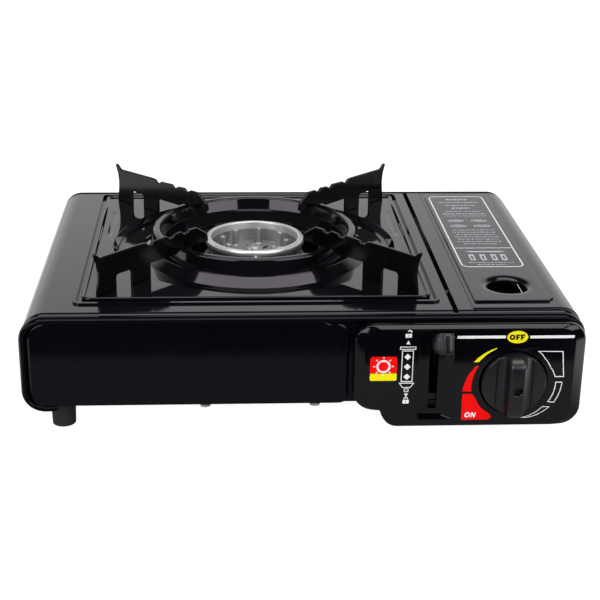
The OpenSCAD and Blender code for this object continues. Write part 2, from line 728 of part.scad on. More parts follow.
// Outline of a pan support, from its outer leg up over the pot edge and back to its inner leg
support_outline = concat(
    [[leg_out, 0], [support_out_r - 3, 10], [support_out_r - 3.2, 15], [support_out_r - 2.4, 21],
        [support_out_r, support_h - 1], [support_out_r - 0.6, support_h], [support_out_r - 2, support_h - 0.6],
        [support_out_r - 5, pot_edge_h + 0.2], [support_out_r - 7, pot_edge_h],
        [support_in_r + notch_places[2] + 7, pot_edge_h + 0.4]],
    notch(support_in_r + notch_places[2]), notch(support_in_r + notch_places[1]),
    notch(support_in_r + notch_places[0]),
    [[support_in_r + 10, pot_edge_h - 0.4], [support_in_r + 7, pot_edge_h - 2.4],
        [support_in_r + 3.5, pot_edge_h - 4.6], [support_in_r + 0.7, pot_edge_h - 7],
        [support_in_r, ring_h + 1], [support_in_r, ring_h], [ring_crest_r + 4, ring_h],
        [ring_crest_r + 8, window_h], [leg_in, window_h], [leg_in, 0], [leg_in + leg_w, 0]],
    arc([leg_in + leg_w + window_r, window_h - window_r], window_r, 180, 90, 4),
    arc([leg_mid - window_r, window_h - window_r], window_r, 90, 0, 4), [[leg_mid, 0]]);

// One pressed pan support, standing on the pan in a diagonal plane
module support(a) color([0.03, 0.03, 0.035]) at_burner() translate([0, 0, pan_z]) rotate(a)
    along_y(-support_t / 2, support_t / 2) polygon(support_outline);
module support_back_right() support(45);
module support_back_left() support(135);
module support_front_left() support(225);
module support_front_right() support(315);

// ---------- burner ----------

// Cast chamber: the tube's socket below, opening into a funnel under the cup
module burner_chamber() color([0.6, 0.6, 0.6]) difference() {
    union() {
        at_burner() {
            translate([0, 0, chamber_base]) cylinder(h = 40, r = chamber_r);
            translate([0, 0, chamber_top - 14]) cylinder(h = 12, r1 = chamber_r, r2 = burner_r - 2);
            translate([0, 0, chamber_top - 2]) cylinder(h = 2, r = burner_r + 1);
            box([-5, -chamber_r - 6, clip_z - 7], [5, -chamber_r + 4, clip_z]);
        }
        on_feed(bracket_w / 2 + 0.5, socket_l, tube_r + 1.8);
    }
    at_burner() {
        translate([0, 0, chamber_base + chamber_wall]) cylinder(h = 60, r = chamber_r - chamber_wall);
        translate([0, 0, chamber_top - 12])
            cylinder(h = 12 + eps, r1 = chamber_r - chamber_wall, r2 = burner_r - chamber_wall - 2);
    }
    on_feed(0, socket_l + 1, tube_r + run_gap);
}

// Places of the studs, or halfway between them where half is 0.5
module at_studs(half) for (k = [0:stud_count - 1])
    rotate(90 - stud_turn - 360 / stud_count * (k + half)) children();

// Flat floor of the cup with its studs and its middle boss
module burner_floor() color([0.75, 0.75, 0.76]) at_burner() difference() {
    union() {
        translate([0, 0, chamber_top]) cylinder(h = floor_t, r = burner_r - 4.2);
        at_studs(0) translate([stud_ring_r, 0, floor_z - eps]) cylinder(h = stud_h + eps, r = stud_r);
        translate([0, 0, floor_z - eps]) cylinder(h = 4, r = 6);
        translate([0, 0, floor_z - eps]) cylinder(h = 5.6, r1 = 5, r2 = 3.4);
    }
    at_studs(0.5) along_z(chamber_top - 1, floor_z + 1)
        round_rect([stud_ring_r - 12, -1.2], [stud_ring_r - 3, 1.2], 1.1);
}

// Ring of flame ports under the bright top ring
module burner_ring() color([0.78, 0.78, 0.8]) at_burner() difference() {
    union() {
        translate([0, 0, chamber_top]) cylinder(h = burner_top - chamber_top - 3, r = burner_r - 1.6);
        translate([0, 0, burner_top - 3.8]) cylinder(h = 3.8, r = burner_r);
    }
    translate([0, 0, chamber_top - 1]) cylinder(h = 30, r = burner_r - 4);
    translate([0, 0, burner_top - 4]) cylinder(h = 5, r = burner_r - burner_lip);
    for (k = [0:port_count - 1]) rotate(360 / port_count * (k + 0.5))
        box([burner_r - 6, -0.6, burner_top - 8.4], [burner_r + 1, 0.6, burner_top - 5]);
}

// Strap across the base tray that the burner stands on
module burner_bracket() color([0.5, 0.5, 0.52]) at_burner() rotate(feed_a) {
    box([-bracket_w / 2, -bracket_half, bracket_z], [bracket_w / 2, bracket_half, chamber_base]);
    for (s = [-1, 1]) translate([0, s * (bracket_half - bracket_leg / 2), 0])
        box([-bracket_w / 2, -bracket_leg / 2, base_z + sheet], [bracket_w / 2, bracket_leg / 2, bracket_z]);
}

// Tube that mixes gas and air on the way to the burner
module mixing_tube() color([0.6, 0.6, 0.62]) difference() {
    on_feed(chamber_r - 1, tube_end, tube_r);
    on_feed(chamber_r - 2, tube_end + 1, tube_r - tube_wall);
}

// Brass jet that blows gas into the tube's mouth
module gas_jet() color([0.72, 0.55, 0.25]) difference() {
    union() {
        on_feed(jet_tip, jet_end, jet_r);
        on_feed(jet_tip + 12, jet_end, jet_hex_r);
    }
    on_feed(jet_tip - 1, jet_end - 2, 1);
}

// ---------- gas valve ----------

// Cylinder around the canister's axis
module on_canister(y0, y1, r) pin_y(canister_x, canister_z, y0, y1, r);

// Places of the regulator cover's screws
module at_cover_screws() for (a = [45:90:315])
    translate([canister_x, 0, canister_z]) rotate([0, -a, 0]) translate([cover_screw_ring, 0, 0]) children();

// Pressure regulator and tap in one casting, with the canister's seat at its back
module valve_body() color([0.62, 0.6, 0.58]) difference() {
    union() {
        on_canister(valve_y[0], valve_y[1], valve_r);
        on_canister(valve_y[1] - eps, valve_y[1] + seat_l, seat_r);
        box([canister_x - valve_foot_w / 2, valve_y[0] + 1, valve_foot_z],
            [canister_x + valve_foot_w / 2, valve_y[1] - 1, canister_z - valve_r / 2]);
        on_feed(jet_end, feed_l + 8, jet_hex_r + 1);
    }
    pin_y(knob_x, knob_z, valve_y[0] - 1, valve_y[0] + spindle_l, spindle_r + run_gap);
    on_canister(valve_y[1] - 4, valve_y[1] + seat_l + 1, seal_r + 0.4);
    at_cover_screws() pin_y(0, 0, valve_y[0] - 1, valve_y[0] + 6, cover_screw_r + run_gap);
}

// Cover over the regulator's diaphragm
module regulator_cover() color([0.55, 0.55, 0.57]) difference() {
    on_canister(cover_y, valve_y[0], valve_r + cover_lap);
    pin_y(knob_x, knob_z, cover_y - 1, valve_y[0] + 1, spindle_r + 0.3);
    at_cover_screws() pin_y(0, 0, cover_y - 1, valve_y[0] + 1, cover_screw_r + run_gap);
}

// Screws that hold the regulator's cover
module cover_screws() color([0.7, 0.7, 0.7]) at_cover_screws() {
    pin_y(0, 0, cover_y - 1.6, cover_y, 2.6);
    pin_y(0, 0, cover_y - 1, valve_y[0] + 5, cover_screw_r);
}

// Rubber ring that seals on the canister's nozzle
module valve_seal() color([0.08, 0.08, 0.08]) difference() {
    on_canister(valve_y[1] - 4, valve_y[1] - 4 + seal_t, seal_r);
    on_canister(valve_y[1] - 5, valve_y[1], 3);
}

// Bracket that carries the valve on the canister tray
module valve_bracket() color([0.5, 0.5, 0.52]) {
    box([canister_x - valve_foot_w / 2 - 8, valve_y[0], under],
        [canister_x + valve_foot_w / 2 + 8, valve_y[1], under + 1.2]);
    for (y = [valve_y[0] + 2, valve_y[1] - 3.2])
        box([canister_x - valve_foot_w / 2, y, under + 1],
            [canister_x + valve_foot_w / 2, y + 1.2, valve_foot_z]);
}

// Spindle of the tap
module valve_spindle() color([0.72, 0.55, 0.25]) difference() {
    pin_y(knob_x, knob_z, panel_y - 6, valve_y[0] + spindle_l - 4, spindle_r);
    pin_y(knob_x, knob_z, panel_y - 7, panel_y + 2, screw_r + run_gap);
}

// Snail cam on the spindle: it lifts the igniter's plunger as the knob turns on
cam_rising = [for (i = [0:28]) (cam_r + cam_rise * i / 28)
    * [sin(knob_travel * i / 28), cos(knob_travel * i / 28)]];
cam_round = [for (i = [1:36]) let (a = knob_travel + (360 - knob_travel) * i / 37) cam_r * [sin(a), cos(a)]];
module igniter_cam() color([0.85, 0.83, 0.78]) translate([knob_x, 0, knob_z]) difference() {
    along_y(cam_y[0], cam_y[1]) polygon(concat(cam_rising, cam_round));
    pin_y(0, 0, cam_y[0] - 1, cam_y[1] + 1, spindle_r + run_gap);
}

// Plunger between the cam and the igniter
module igniter_plunger() color([0.85, 0.83, 0.78])
    translate([knob_x, plunger_y, knob_z + cam_r + plunger_gap]) cylinder(h = plunger_l, r = plunger_r);

// Piezo igniter, fixed to the back of the front plate
module piezo_igniter() color([0.1, 0.1, 0.11]) difference() {
    box([knob_x - piezo_w / 2, y_front, piezo_z], [knob_x + piezo_w / 2, plunger_y + 4.2, piezo_z + piezo_h]);
    translate([knob_x, plunger_y, piezo_z - 1]) cylinder(h = piezo_h - 5, r = plunger_r + run_gap);
    pin_x(wire_route[0][1], wire_route[0][2], knob_x - piezo_w / 2 - 1, knob_x - piezo_w / 2 + 1,
        wire_r + run_gap);
}

// Electrode: a ceramic sleeve and the bent spark wire
module electrode() color([0.9, 0.88, 0.84]) at_burner() translate([0, -electrode_back, clip_z]) difference() {
    union() {
        translate([0, 0, clip_t]) cylinder(h = 22, r = 2.6);
        translate([0, 0, 20]) cylinder(h = 9, r = 0.8);
        pin_y(0, 28.2, -0.8, 3.4, 0.8);
    }
    cylinder(h = 3, r = wire_r + run_gap);
}

// Clip that holds the electrode at the burner
module electrode_clip() color([0.5, 0.5, 0.52]) at_burner() difference() {
    box([-5, -electrode_back - 5, clip_z], [5, -chamber_r - 1, clip_z + clip_t]);
    translate([0, -electrode_back, clip_z - 1]) cylinder(h = 3, r = wire_r + run_gap);
}

// Point along the wire's route, smoothed between the route's points
function route_point(t) = let (n = len(wire_route), i = min(floor(t), n - 2), f = t - i,
    p = [for (k = [-1:2]) wire_route[max(0, min(n - 1, i + k))]])
    0.5 * (2 * p[1] + f * (p[2] - p[0]) + f * f * (2 * p[0] - 5 * p[1] + 4 * p[2] - p[3])
        + f * f * f * (3 * p[1] - p[0] - 3 * p[2] + p[3]));
function unit(v) = v / norm(v);

// High-tension lead from the igniter to the electrode
module ignition_wire() color([0.75, 0.75, 0.72]) {
    n = 2 * (len(wire_route) - 1);
    sides = 8;
    points = [for (i = [0:n]) let (t = i / 2, p = route_point(t),
            d = unit(route_point(min(t + 0.05, n / 2)) - route_point(max(t - 0.05, 0))),
            u = unit(cross(d, [0.31, 0.9, 0.3])), v = cross(d, u))
        for (k = [0:sides - 1]) p + wire_r * (cos(360 * k / sides) * u + sin(360 * k / sides) * v)];
    ends = [[for (k = [0:sides - 1]) k], [for (k = [sides - 1:-1:0]) n * sides + k]];
    walls = [for (i = [0:n - 1], k = [0:sides - 1]) let (a = i * sides, b = a + sides, m = (k + 1) % sides)
        [a + k, b + k, b + m, a + m]];
    polyhedron(points, concat(ends, walls));
}

// ---------- control panel and knob ----------

// Outer or inner form of one half of the panel: s is how far it is inset, low is 1 for the lower half
module panel_half(s, low) {
    x0 = x_left + panel_from_left;
    z0 = low == 1 ? bay_base : step_z;
    z1 = low == 1 ? panel_top - 20 : panel_top;
    hull() {
        along_y(plate_y - 0.4, plate_y)
            round_rect([x0 + low * (step_w + bevel_left - 1) + s, z0 + s], [x_right - s, z1 - s],
                12 - s, $fn = 32);
        along_y(panel_y + s, panel_y + s + 0.4)
            round_rect([x0 + bevel_left + low * step_w + s, z0 + s],
                [x_right - bevel_right - s, z1 - 1.5 - s], 10 - low - s, $fn = 32);
    }
}
module panel_form(s) {
    panel_half(s, 0);
    panel_half(s, 1);
}

// Moulded panel with the lever's recess and slot, and a dish for the knob
module control_panel() color([0.1, 0.1, 0.11]) difference() {
    union() {
        difference() {
            panel_form(0);
            translate([0, eps, 0]) panel_form(panel_wall);
            box([x_left + panel_from_left + bevel_left + 4, plate_y - 1, step_z + panel_wall],
                [x_right - 4, plate_y + 1, panel_top - 4]);
            box([x_left + panel_from_left + bevel_left + step_w + 6, plate_y - 1, bay_base + panel_wall],
                [x_right - 4, plate_y + 1, step_z + 4]);
        }
        along_y(panel_y + 0.5, panel_y + recess_d + 1.5)
            round_rect([lever_recess_x[0] - 1.5, lever_recess_z[0] - 1.5],
                [lever_recess_x[1] + 1.5, lever_recess_z[1] + 1.5], 2);
        pin_y(knob_x, knob_z, panel_y + 0.5, panel_y + 3.5, knob_recess_r + 1);
    }
    along_y(panel_y - 1, panel_y + recess_d)
        round_rect([lever_recess_x[0], lever_recess_z[0]], [lever_recess_x[1], lever_recess_z[1]], 1);
    box([lever_x - slot_w / 2, panel_y - 1, slot_z[0]], [lever_x + slot_w / 2, plate_y + 1, slot_z[1]]);
    pin_y(knob_x, knob_z, panel_y - 1, panel_y + 1.5, knob_recess_r);
    pin_y(knob_x, knob_z, panel_y - 1, plate_y + 1, spindle_r + 2);
}

// Knob: a disc with a bar-shaped grip, scooped at both sides
module control_knob() color([0.06, 0.06, 0.065]) translate([knob_x, panel_y, knob_z]) difference() {
    pin_y(0, 0, -knob_proud, 0.7, knob_r);
    for (s = [0, 1]) mirror([s, 0, 0]) along_z(-knob_r - 1, knob_r + 1) {
        translate([grip_w / 2 + scoop_r, -knob_proud - 1])
            square([knob_r + 1 - grip_w / 2 - scoop_r, knob_proud + 1 - knob_side_proud]);
        translate([grip_w / 2, -knob_proud - 1])
            square([scoop_r, knob_proud + 1 - knob_side_proud - scoop_r]);
        translate([grip_w / 2 + scoop_r, -knob_side_proud - scoop_r]) circle(scoop_r);
    }
    pin_y(0, 0, -knob_proud - 1, -screw_seat, knob_hole_r);
    pin_y(0, 0, -screw_seat - 1, 0, screw_r + run_gap);
    pin_y(0, 0, -6.1, 1, spindle_r + run_gap);
}

// Screw that holds the knob on its spindle
module knob_screw() color([0.5, 0.5, 0.52]) translate([knob_x, panel_y - screw_seat, knob_z]) difference() {
    union() {
        pin_y(0, 0, -2, 0, knob_hole_r - 0.3);
        pin_y(0, 0, -0.5, screw_seat + 1, screw_r);
    }
    for (a = [0, 90]) rotate([0, a, 0]) box([-0.4, -3, -3], [0.4, -1.2, 3]);
}

// ---------- lock lever ----------

// Moves a lever drawn with its arm level, towards the front, to its raised rest position
module at_lever() translate([lever_x, pivot_y, pivot_z]) rotate([-lever_swing, 0, 0]) children();

// Steel lever: the long arm carries the cap, and the short one drives the pusher
module lock_lever() color([0.6, 0.6, 0.62]) at_lever() difference() {
    union() {
        box([-lever_t / 2, -cap_back - arm_root, -arm_h / 2], [lever_t / 2, 0, arm_h / 2]);
        pin_x(0, 0, -lever_t / 2 - 0.8, lever_t / 2 + 0.8, hub_r);
        box([-lever_t / 2, -arm_root / 2, 0], [lever_t / 2, arm_root / 2, drive_arm + 3]);
        pin_x(0, drive_arm, -lever_t / 2, riser_x[1] - lever_x + 0.9, drive_pin_r);
    }
    pin_x(0, 0, -10, 10, pivot_r + run_gap);
}

// Moulded cap for the thumb: a round lobe, a groove, and a flatter wing
module lever_cap() color([0.06, 0.06, 0.065]) at_lever() translate([0, -cap_back - cap_d, 0]) difference() {
    along_z(-cap_h / 2, cap_h / 2) {
        translate([-3, 3.2]) square([5.2, cap_d - 3.2]);
        translate([-0.4, 2.9]) circle(2.6);
        translate([2, 4]) square([1.2, cap_d - 4]);
        translate([3.2, 3.6]) square([cap_w - 6.2, cap_d - 3.6]);
        translate([4.6, 3.6]) circle(1.4);
        translate([cap_w - 6, 3.6]) circle(2);
        translate([4.6, 2.2]) square([cap_w - 10.6, 2]);
    }
    box([-lever_t / 2 - 0.02, cap_d - arm_root - 0.02, -arm_h / 2 - 0.02],
        [lever_t / 2 + 0.02, cap_d + 1, arm_h / 2 + 0.02]);
}

// Pin that the lever turns on
module lever_pin() color([0.7, 0.7, 0.7])
    pin_x(pivot_y, pivot_z, cheek_x[0] - 0.9, cheek_x[1] + cheek_t + 0.9, pivot_r);

// Bracket with two cheeks that carries the lever's pin
module lever_bracket() color([0.5, 0.5, 0.52]) difference() {
    union() {
        box([cheek_x[0], pivot_y - 9, under], [cheek_x[1] + cheek_t, pivot_y + 9, under + 1.2]);
        for (x = cheek_x) box([x, pivot_y - 7, under], [x + cheek_t, pivot_y + 7, pivot_z + 5]);
    }
    pin_x(pivot_y, pivot_z, lever_x - 10, lever_x + 10, pivot_r + 0.02);
}

// Sliding plate under the canister: its rear tab pushes the canister onto the valve
module canister_pusher() color([0.5, 0.5, 0.52]) difference() {
    union() {
        box([canister_x - pusher_w / 2, riser_y[0], pusher_z],
            [canister_x + pusher_w / 2, y_back - 8, pusher_z + pusher_t]);
        box([canister_x - pusher_w / 2 - 7, y_back - 8 - pusher_t, pusher_z],
            [canister_x + pusher_w / 2 + 7, y_back - 8, pusher_z + 24]);
        box([riser_x[0], riser_y[0], pusher_z], [canister_x, riser_y[1], pusher_z + pusher_t]);
        box([riser_x[0], riser_y[0], pusher_z], [riser_x[1], riser_y[1], riser_z[1]]);
        box([riser_x[0], drive_rest[0] - 7, riser_z[0]], [riser_x[1], riser_y[1], riser_z[1]]);
    }
    box([riser_x[0] - 1, drive_rest[0] - drive_pin_r - 0.5, riser_z[0] + 2.5],
        [riser_x[1] + 1, drive_rest[0] + drive_pin_r + 0.5, riser_z[1] - 3.5]);
}

// ---------- other pieces ----------

// Aluminium plate that takes a little of the burner's heat to the canister
module heat_plate() color([0.7, 0.7, 0.72]) {
    box([burner_xy[0] + burner_r + 4, heat_y[0], heat_z], [heat_x, heat_y[1], heat_z + sheet]);
    box([heat_x - 1, heat_y[0], heat_z - 30], [heat_x, heat_y[1], heat_z + sheet]);
}

// Screws under the base tray
module base_screws() color([0.4, 0.4, 0.42]) for (p = base_screw_places) translate([p[0], p[1], base_z]) {
    translate([0, 0, -base_screw_head_t]) cylinder(h = base_screw_head_t, r = base_screw_head_r);
    translate([0, 0, -1]) cylinder(h = 6, r = base_screw_r);
}

// One rubber foot, standing on the table and reaching up to the case
module foot(x, y, top) color([0.05, 0.05, 0.05]) translate([x, y, 0]) {
    shank = top * 0.62;
    cylinder(h = shank, r1 = foot_r - 0.9, r2 = foot_r - 0.5);
    translate([0, 0, shank]) cylinder(h = top - shank, r = foot_r);
}
module foot_front_left() foot(x_left + foot_inset_x, y_front + foot_inset_y, body_base);
module foot_back_left() foot(x_left + foot_inset_x, y_back - foot_inset_y, body_base);
module foot_front_right() foot(x_right - foot_inset_x, y_front + foot_inset_y, bay_base);
module foot_back_right() foot(x_right - foot_inset_x, y_back - foot_inset_y, bay_base);

casing();
front_plate();
back_plate();
base_tray();
canister_tray();
partition();
bay_front_rim();
bay_rear_rim();
canister_lid();
lid_hinge_rod();
control_panel();
drip_pan();
support_front_left();
support_front_right();
support_back_left();
support_back_right();
burner_chamber();
burner_ring();
burner_floor();
burner_bracket();
mixing_tube();
gas_jet();
valve_body();
regulator_cover();
valve_seal();
valve_bracket();
cover_screws();
valve_spindle();
control_knob();
knob_screw();
igniter_cam();
igniter_plunger();
piezo_igniter();
electrode();
electrode_clip();
ignition_wire();
lock_lever();
lever_cap();
lever_pin();
lever_bracket();
canister_pusher();
heat_plate();
base_screws();
foot_front_left();
foot_front_right();
foot_back_left();
foot_back_right();
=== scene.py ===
"""Dresses a butane cassette stove: pressed enamel, moulded controls, the burner and the prints.

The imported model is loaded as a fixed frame. Each sub-assembly is a class that reads its places
from the frame's nodes, builds its meshes in millimetres, and hands them over as pieces that ride
on the frame's bodies.
"""

import logging
import math
from dataclasses import dataclass
from enum import Enum
from typing import Any, Callable, Iterable, Sequence

import bmesh
import bpy
from mathutils import Matrix, Vector
from mathutils.geometry import tessellate_polygon


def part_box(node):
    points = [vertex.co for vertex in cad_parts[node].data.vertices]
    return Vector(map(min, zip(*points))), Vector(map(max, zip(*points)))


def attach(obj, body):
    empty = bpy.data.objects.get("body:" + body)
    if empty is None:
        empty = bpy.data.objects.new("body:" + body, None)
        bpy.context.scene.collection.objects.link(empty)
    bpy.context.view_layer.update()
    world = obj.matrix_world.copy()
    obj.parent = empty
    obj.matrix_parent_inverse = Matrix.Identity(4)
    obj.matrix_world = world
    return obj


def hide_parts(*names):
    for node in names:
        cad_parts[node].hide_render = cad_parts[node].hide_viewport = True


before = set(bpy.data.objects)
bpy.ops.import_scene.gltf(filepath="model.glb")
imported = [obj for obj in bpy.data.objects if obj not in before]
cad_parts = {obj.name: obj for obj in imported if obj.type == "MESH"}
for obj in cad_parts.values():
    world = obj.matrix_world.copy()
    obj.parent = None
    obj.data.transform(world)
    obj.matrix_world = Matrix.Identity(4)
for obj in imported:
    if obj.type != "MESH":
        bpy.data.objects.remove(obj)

logging.basicConfig(level=logging.INFO, format="%(message)s")
log = logging.getLogger("stove")

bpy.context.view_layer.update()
MM = 0.001

MIX_LOW, MIX_HIGH, MIX_COLOUR = 6, 7, 2  # a Mix node's sockets for colours
WELD = 2e-6  # metres between points that become one
SLIVER = 1e-6  # metres below which a face is dropped
LEVEL_ANGLE = 0.8  # degrees below which two faces are one
NODE_SHARP = 32.0  # degrees above which a CAD node's edge is rounded
EASED_SHARP = 75.0  # degrees above which a rounded piece still has an edge
PRINT_SHARP = 50.0
TURNED_SHARP = 50.0
PORT_SHARP = 35.0
PANEL_SHARP = 34.0
KNOB_SHARP = 44.0
CAP_SHARP = 100.0
SOFT_SHARP = 60.0
PRINT_EDGE = 0.02  # radius of an ink film's edge
TUBE_STEPS = 18
WIDE_STEPS = 96  # steps round a dish, a hole or a floor
PRINT_STEPS = 28  # steps round a printed ring
SAME = 1e-7  # millimetres between points of a loop that count as one
MITRE = 0.5  # least cosine at a mitred corner, so that a sharp one doesn't run out far
BEVEL_STEPS = 3  # steps in the rounding of a CAD node's edge

Flat = tuple[float, float]
Point = tuple[float, float, float]
Rect = tuple[float, float, float, float]
Loop = list[Flat]
Place = Callable[[float, float, float], Point]


class Body(Enum):
    """Bodies of the frame that pieces ride on."""

    CASE = "case"
    LID = "lid"
    PAN = "pan"
    KNOB = "knob"
    PLUNGER = "plunger"
    LEVER = "lever"
    PUSHER = "pusher"


class Slot(Enum):
    """Material slots of the record."""

    ENAMEL = "enamel_black"
    PAINTED = "painted_steel"
    ZINC = "zinc_steel"
    ALUMINIUM = "cast_aluminium"
    BRASS = "brass"
    PLASTIC = "black_plastic"
    NATURAL = "natural_plastic"
    CERAMIC = "ceramic"
    SLEEVE = "wire_sleeve"
    RUBBER = "rubber"


# ---------- shader graphs ----------


class Value:
    """An output socket; arithmetic on it adds Math nodes to its graph."""

    def __init__(self, graph: "Graph", socket: Any) -> None:
        """Wraps a socket.

        Args:
            graph: The graph that holds the socket's node.
            socket: The output socket, or None for a node without outputs.
        """
        self.graph = graph
        self.socket = socket

    def _math(self, operation: str, first: "Value | float", second: "Value | float") -> "Value":
        """Adds one Math node and returns its result."""
        return self.graph.add("ShaderNodeMath", {"operation": operation}, {0: first, 1: second})

    def __abs__(self) -> "Value":
        """Size without its sign."""
        return self._math("ABSOLUTE", self, 0.0)

    def __add__(self, other: "Value | float") -> "Value":
        """Sum."""
        return self._math("ADD", self, other)

    __radd__ = __add__

    def __sub__(self, other: "Value | float") -> "Value":
        """Difference."""
        return self._math("SUBTRACT", self, other)

    def __rsub__(self, other: float) -> "Value":
        """Difference, with the number first."""
        return self._math("SUBTRACT", other, self)

    def __mul__(self, other: "Value | float") -> "Value":
        """Product."""
        return self._math("MULTIPLY", self, other)

    __rmul__ = __mul__


class Graph:
    """Node tree of a material or a world."""

    def __init__(self, owner: Any) -> None:
        """Empties the owner's node tree.

        Args:
            owner: The material or world whose tree is built.
        """
        owner.use_nodes = True
        self.tree = owner.node_tree
        self.tree.nodes.clear()

    def add(
        self,
        kind: str,
        settings: dict[str, Any] | None = None,
        inputs: dict[int | str, Any] | None = None,
        output: int | str = 0,
    ) -> Value:
        """Adds a node.

        Args:
            kind: The node's type.
            settings: Properties of the node, set before its sockets.
            inputs: Numbers, vectors or Values for the sockets.
            output: Name or index of the output that is returned.

        Returns:
            The output as a Value.
        """
        node = self.tree.nodes.new(kind)
        for key, setting in (settings or {}).items():
            setattr(node, key, setting)
        for key, entry in (inputs or {}).items():
            if isinstance(entry, Value):
                self.tree.links.new(entry.socket, node.inputs[key])
            else:
                node.inputs[key].default_value = entry
        return Value(self, node.outputs[output] if len(node.outputs) else None)

    def along(self, axis: str, space: str) -> Value:
        """One coordinate, by its axis and the name of its space."""
        raw = self.add("ShaderNodeTexCoord", output=space)
        return self.add("ShaderNodeSeparateXYZ", None, {"Vector": raw}, axis)

    def ray(self, kind: str) -> Value:
        """1 for rays of a kind, and 0 for others."""
        return self.add("ShaderNodeLightPath", output=f"Is {kind} Ray")

    def grain(self, size: float, detail: float = 2.0, stretch: Point = (1.0, 1.0, 1.0)) -> Value:
        """Noise over the surface.

        Args:
            size: Rough size of its features, in metres.
            detail: Number of finer layers.
            stretch: Factors on the axes before the noise.

        Returns:
            The noise, from 0 to 1.
        """
        raw = self.add("ShaderNodeTexCoord", output="Object")
        spot = self.add(
            "ShaderNodeMapping", {"vector_type": "POINT"}, {"Vector": raw, "Scale": stretch}
        )
        inputs = {"Vector": spot, "Scale": 1.0 / size, "Detail": detail}
        return self.add("ShaderNodeTexNoise", {"noise_dimensions": "3D"}, inputs, "Fac")

    def band(
        self, value: Value, low: float, high: float, to_low: float = 0.0, to_high: float = 1.0
    ) -> Value:
        """Value eased from one level to another.

        Args:
            value: The value.
            low: Bound below which the result is to_low.
            high: Bound above which the result is to_high.
            to_low: The first level.
            to_high: The second level.

        Returns:
            The eased level.
        """
        bounds = {"From Min": low, "From Max": high, "To Min": to_low, "To Max": to_high}
        settings = {"interpolation_type": "SMOOTHSTEP"}
        return self.add("ShaderNodeMapRange", settings, {"Value": value, **bounds})

    def tint(self, mask: Value, low: Sequence[float], high: Sequence[float]) -> Value:
        """Colour between two colours by a mask."""
        inputs = {"Factor": mask, MIX_LOW: (*low, 1.0), MIX_HIGH: (*high, 1.0)}
        return self.add("ShaderNodeMix", {"data_type": "RGBA"}, inputs, MIX_COLOUR)

    def bump(self, height: Value, depth: float, under: Value | None = None) -> Value:
        """Normal from a height.

        Args:
            height: The height, from 0 to 1.
            depth: What a height of 1 stands for, in metres.
            under: A normal that the bump lies on.

        Returns:
            The normal.
        """
        inputs: dict[int | str, Any] = {"Height": height, "Distance": depth, "Strength": 1.0}
        if under is not None:
            inputs["Normal"] = under
        return self.add("ShaderNodeBump", None, inputs, "Normal")


# ---------- finishes ----------


@dataclass(frozen=True)
class Finish:
    """A plain moulded or painted finish, with a fine texture and slow changes of gloss."""

    name: str
    slot: Slot
    colour: Point
    second: Point
    roughness: float
    spread: float = 0.04
    texture: float = 0.0012
    depth: float = 0.00002
    specular: float = 0.5
    coat: float = 0.0
    coat_roughness: float = 0.05
    metallic: float = 0.0
    sheen_colour: Point = (1.0, 1.0, 1.0)
    drift: float = 0.035
    drift_band: Flat = (0.35, 0.65)

    def material(self) -> bpy.types.Material:
        """The finish's material, made once.

        Returns:
            The material.
        """
        known = bpy.data.materials.get(self.name)
        if known is not None:
            return known
        made = bpy.data.materials.new(self.name)
        graph = Graph(made)
        inputs: dict[int | str, Any] = {
            "Metallic": self.metallic,
            "Specular IOR Level": self.specular,
            "Specular Tint": (*self.sheen_colour, 1.0),
            "Coat Weight": self.coat,
            "Coat Roughness": self.coat_roughness,
        }
        inputs.update(self.sockets(graph))
        shader = graph.add("ShaderNodeBsdfPrincipled", None, inputs)
        graph.add("ShaderNodeOutputMaterial", None, {"Surface": shader})
        return made

    def sockets(self, graph: Graph) -> dict[int | str, Any]:
        """What changes over the surface.

        Args:
            graph: The material's graph.

        Returns:
            The values of the shader's sockets.
        """
        slow = graph.grain(self.drift, 3.0)
        return {
            "Base Color": self._mottled(graph, slow),
            "Roughness": self._uneven(slow),
            "Normal": graph.bump(graph.grain(self.texture), self.depth),
        }

    def _mottled(self, graph: Graph, mask: Value) -> Value:
        """Colour from the first to the second by a mask."""
        return graph.tint(graph.band(mask, *self.drift_band), self.colour, self.second)

    def _uneven(self, mask: Value) -> Value:
        """Roughness that spreads about its middle by a mask."""
        return mask * (2 * self.spread) + (self.roughness - self.spread)


@dataclass(frozen=True)
class Enamel(Finish):
    """Glossy fired enamel: a faint orange peel under a hard shine, and dust in its gloss."""

    sheen_colour: Point = (0.975, 0.87, 1.0)
    drift: float = 0.05
    drift_band: Flat = (0.3, 0.7)
    peel: float = 0.006
    dust: float = 0.0016
    dust_band: Flat = (0.62, 0.78)
    fine: float = 0.15

    def sockets(self, graph: Graph) -> dict[int | str, Any]:
        """What changes over the surface.

        Args:
            graph: The material's graph.

        Returns:
            The values of the shader's sockets.
        """
        slow = graph.grain(self.drift, 3.0)
        dust = graph.band(graph.grain(self.dust, 1.0), *self.dust_band)
        waves = graph.bump(graph.grain(self.peel, 1.0), self.depth)
        return {
            "Base Color": self._mottled(graph, slow),
            "Roughness": slow * self.spread + dust * (0.5 * self.spread) + self.roughness,
            "Normal": graph.bump(graph.grain(self.texture), self.fine * self.depth, waves),
        }


@dataclass(frozen=True)
class Metal(Finish):
    """Bare metal: a grain along one axis, and darker patches."""

    stretch: Point = (1.0, 1.0, 1.0)
    drift: float = 0.012
    drift_band: Flat = (0.3, 0.7)
    drift_share: float = 0.6

    def sockets(self, graph: Graph) -> dict[int | str, Any]:
        """What changes over the surface.

        Args:
            graph: The material's graph.

        Returns:
            The values of the shader's sockets.
        """
        streak = graph.grain(self.texture, 4.0, self.stretch)
        slow = graph.grain(self.drift, 3.0) * self.drift_share
        return {
            "Base Color": self._mottled(graph, slow + streak * (1.0 - self.drift_share)),
            "Roughness": self._uneven(streak),
            "Normal": graph.bump(streak, self.depth),
        }


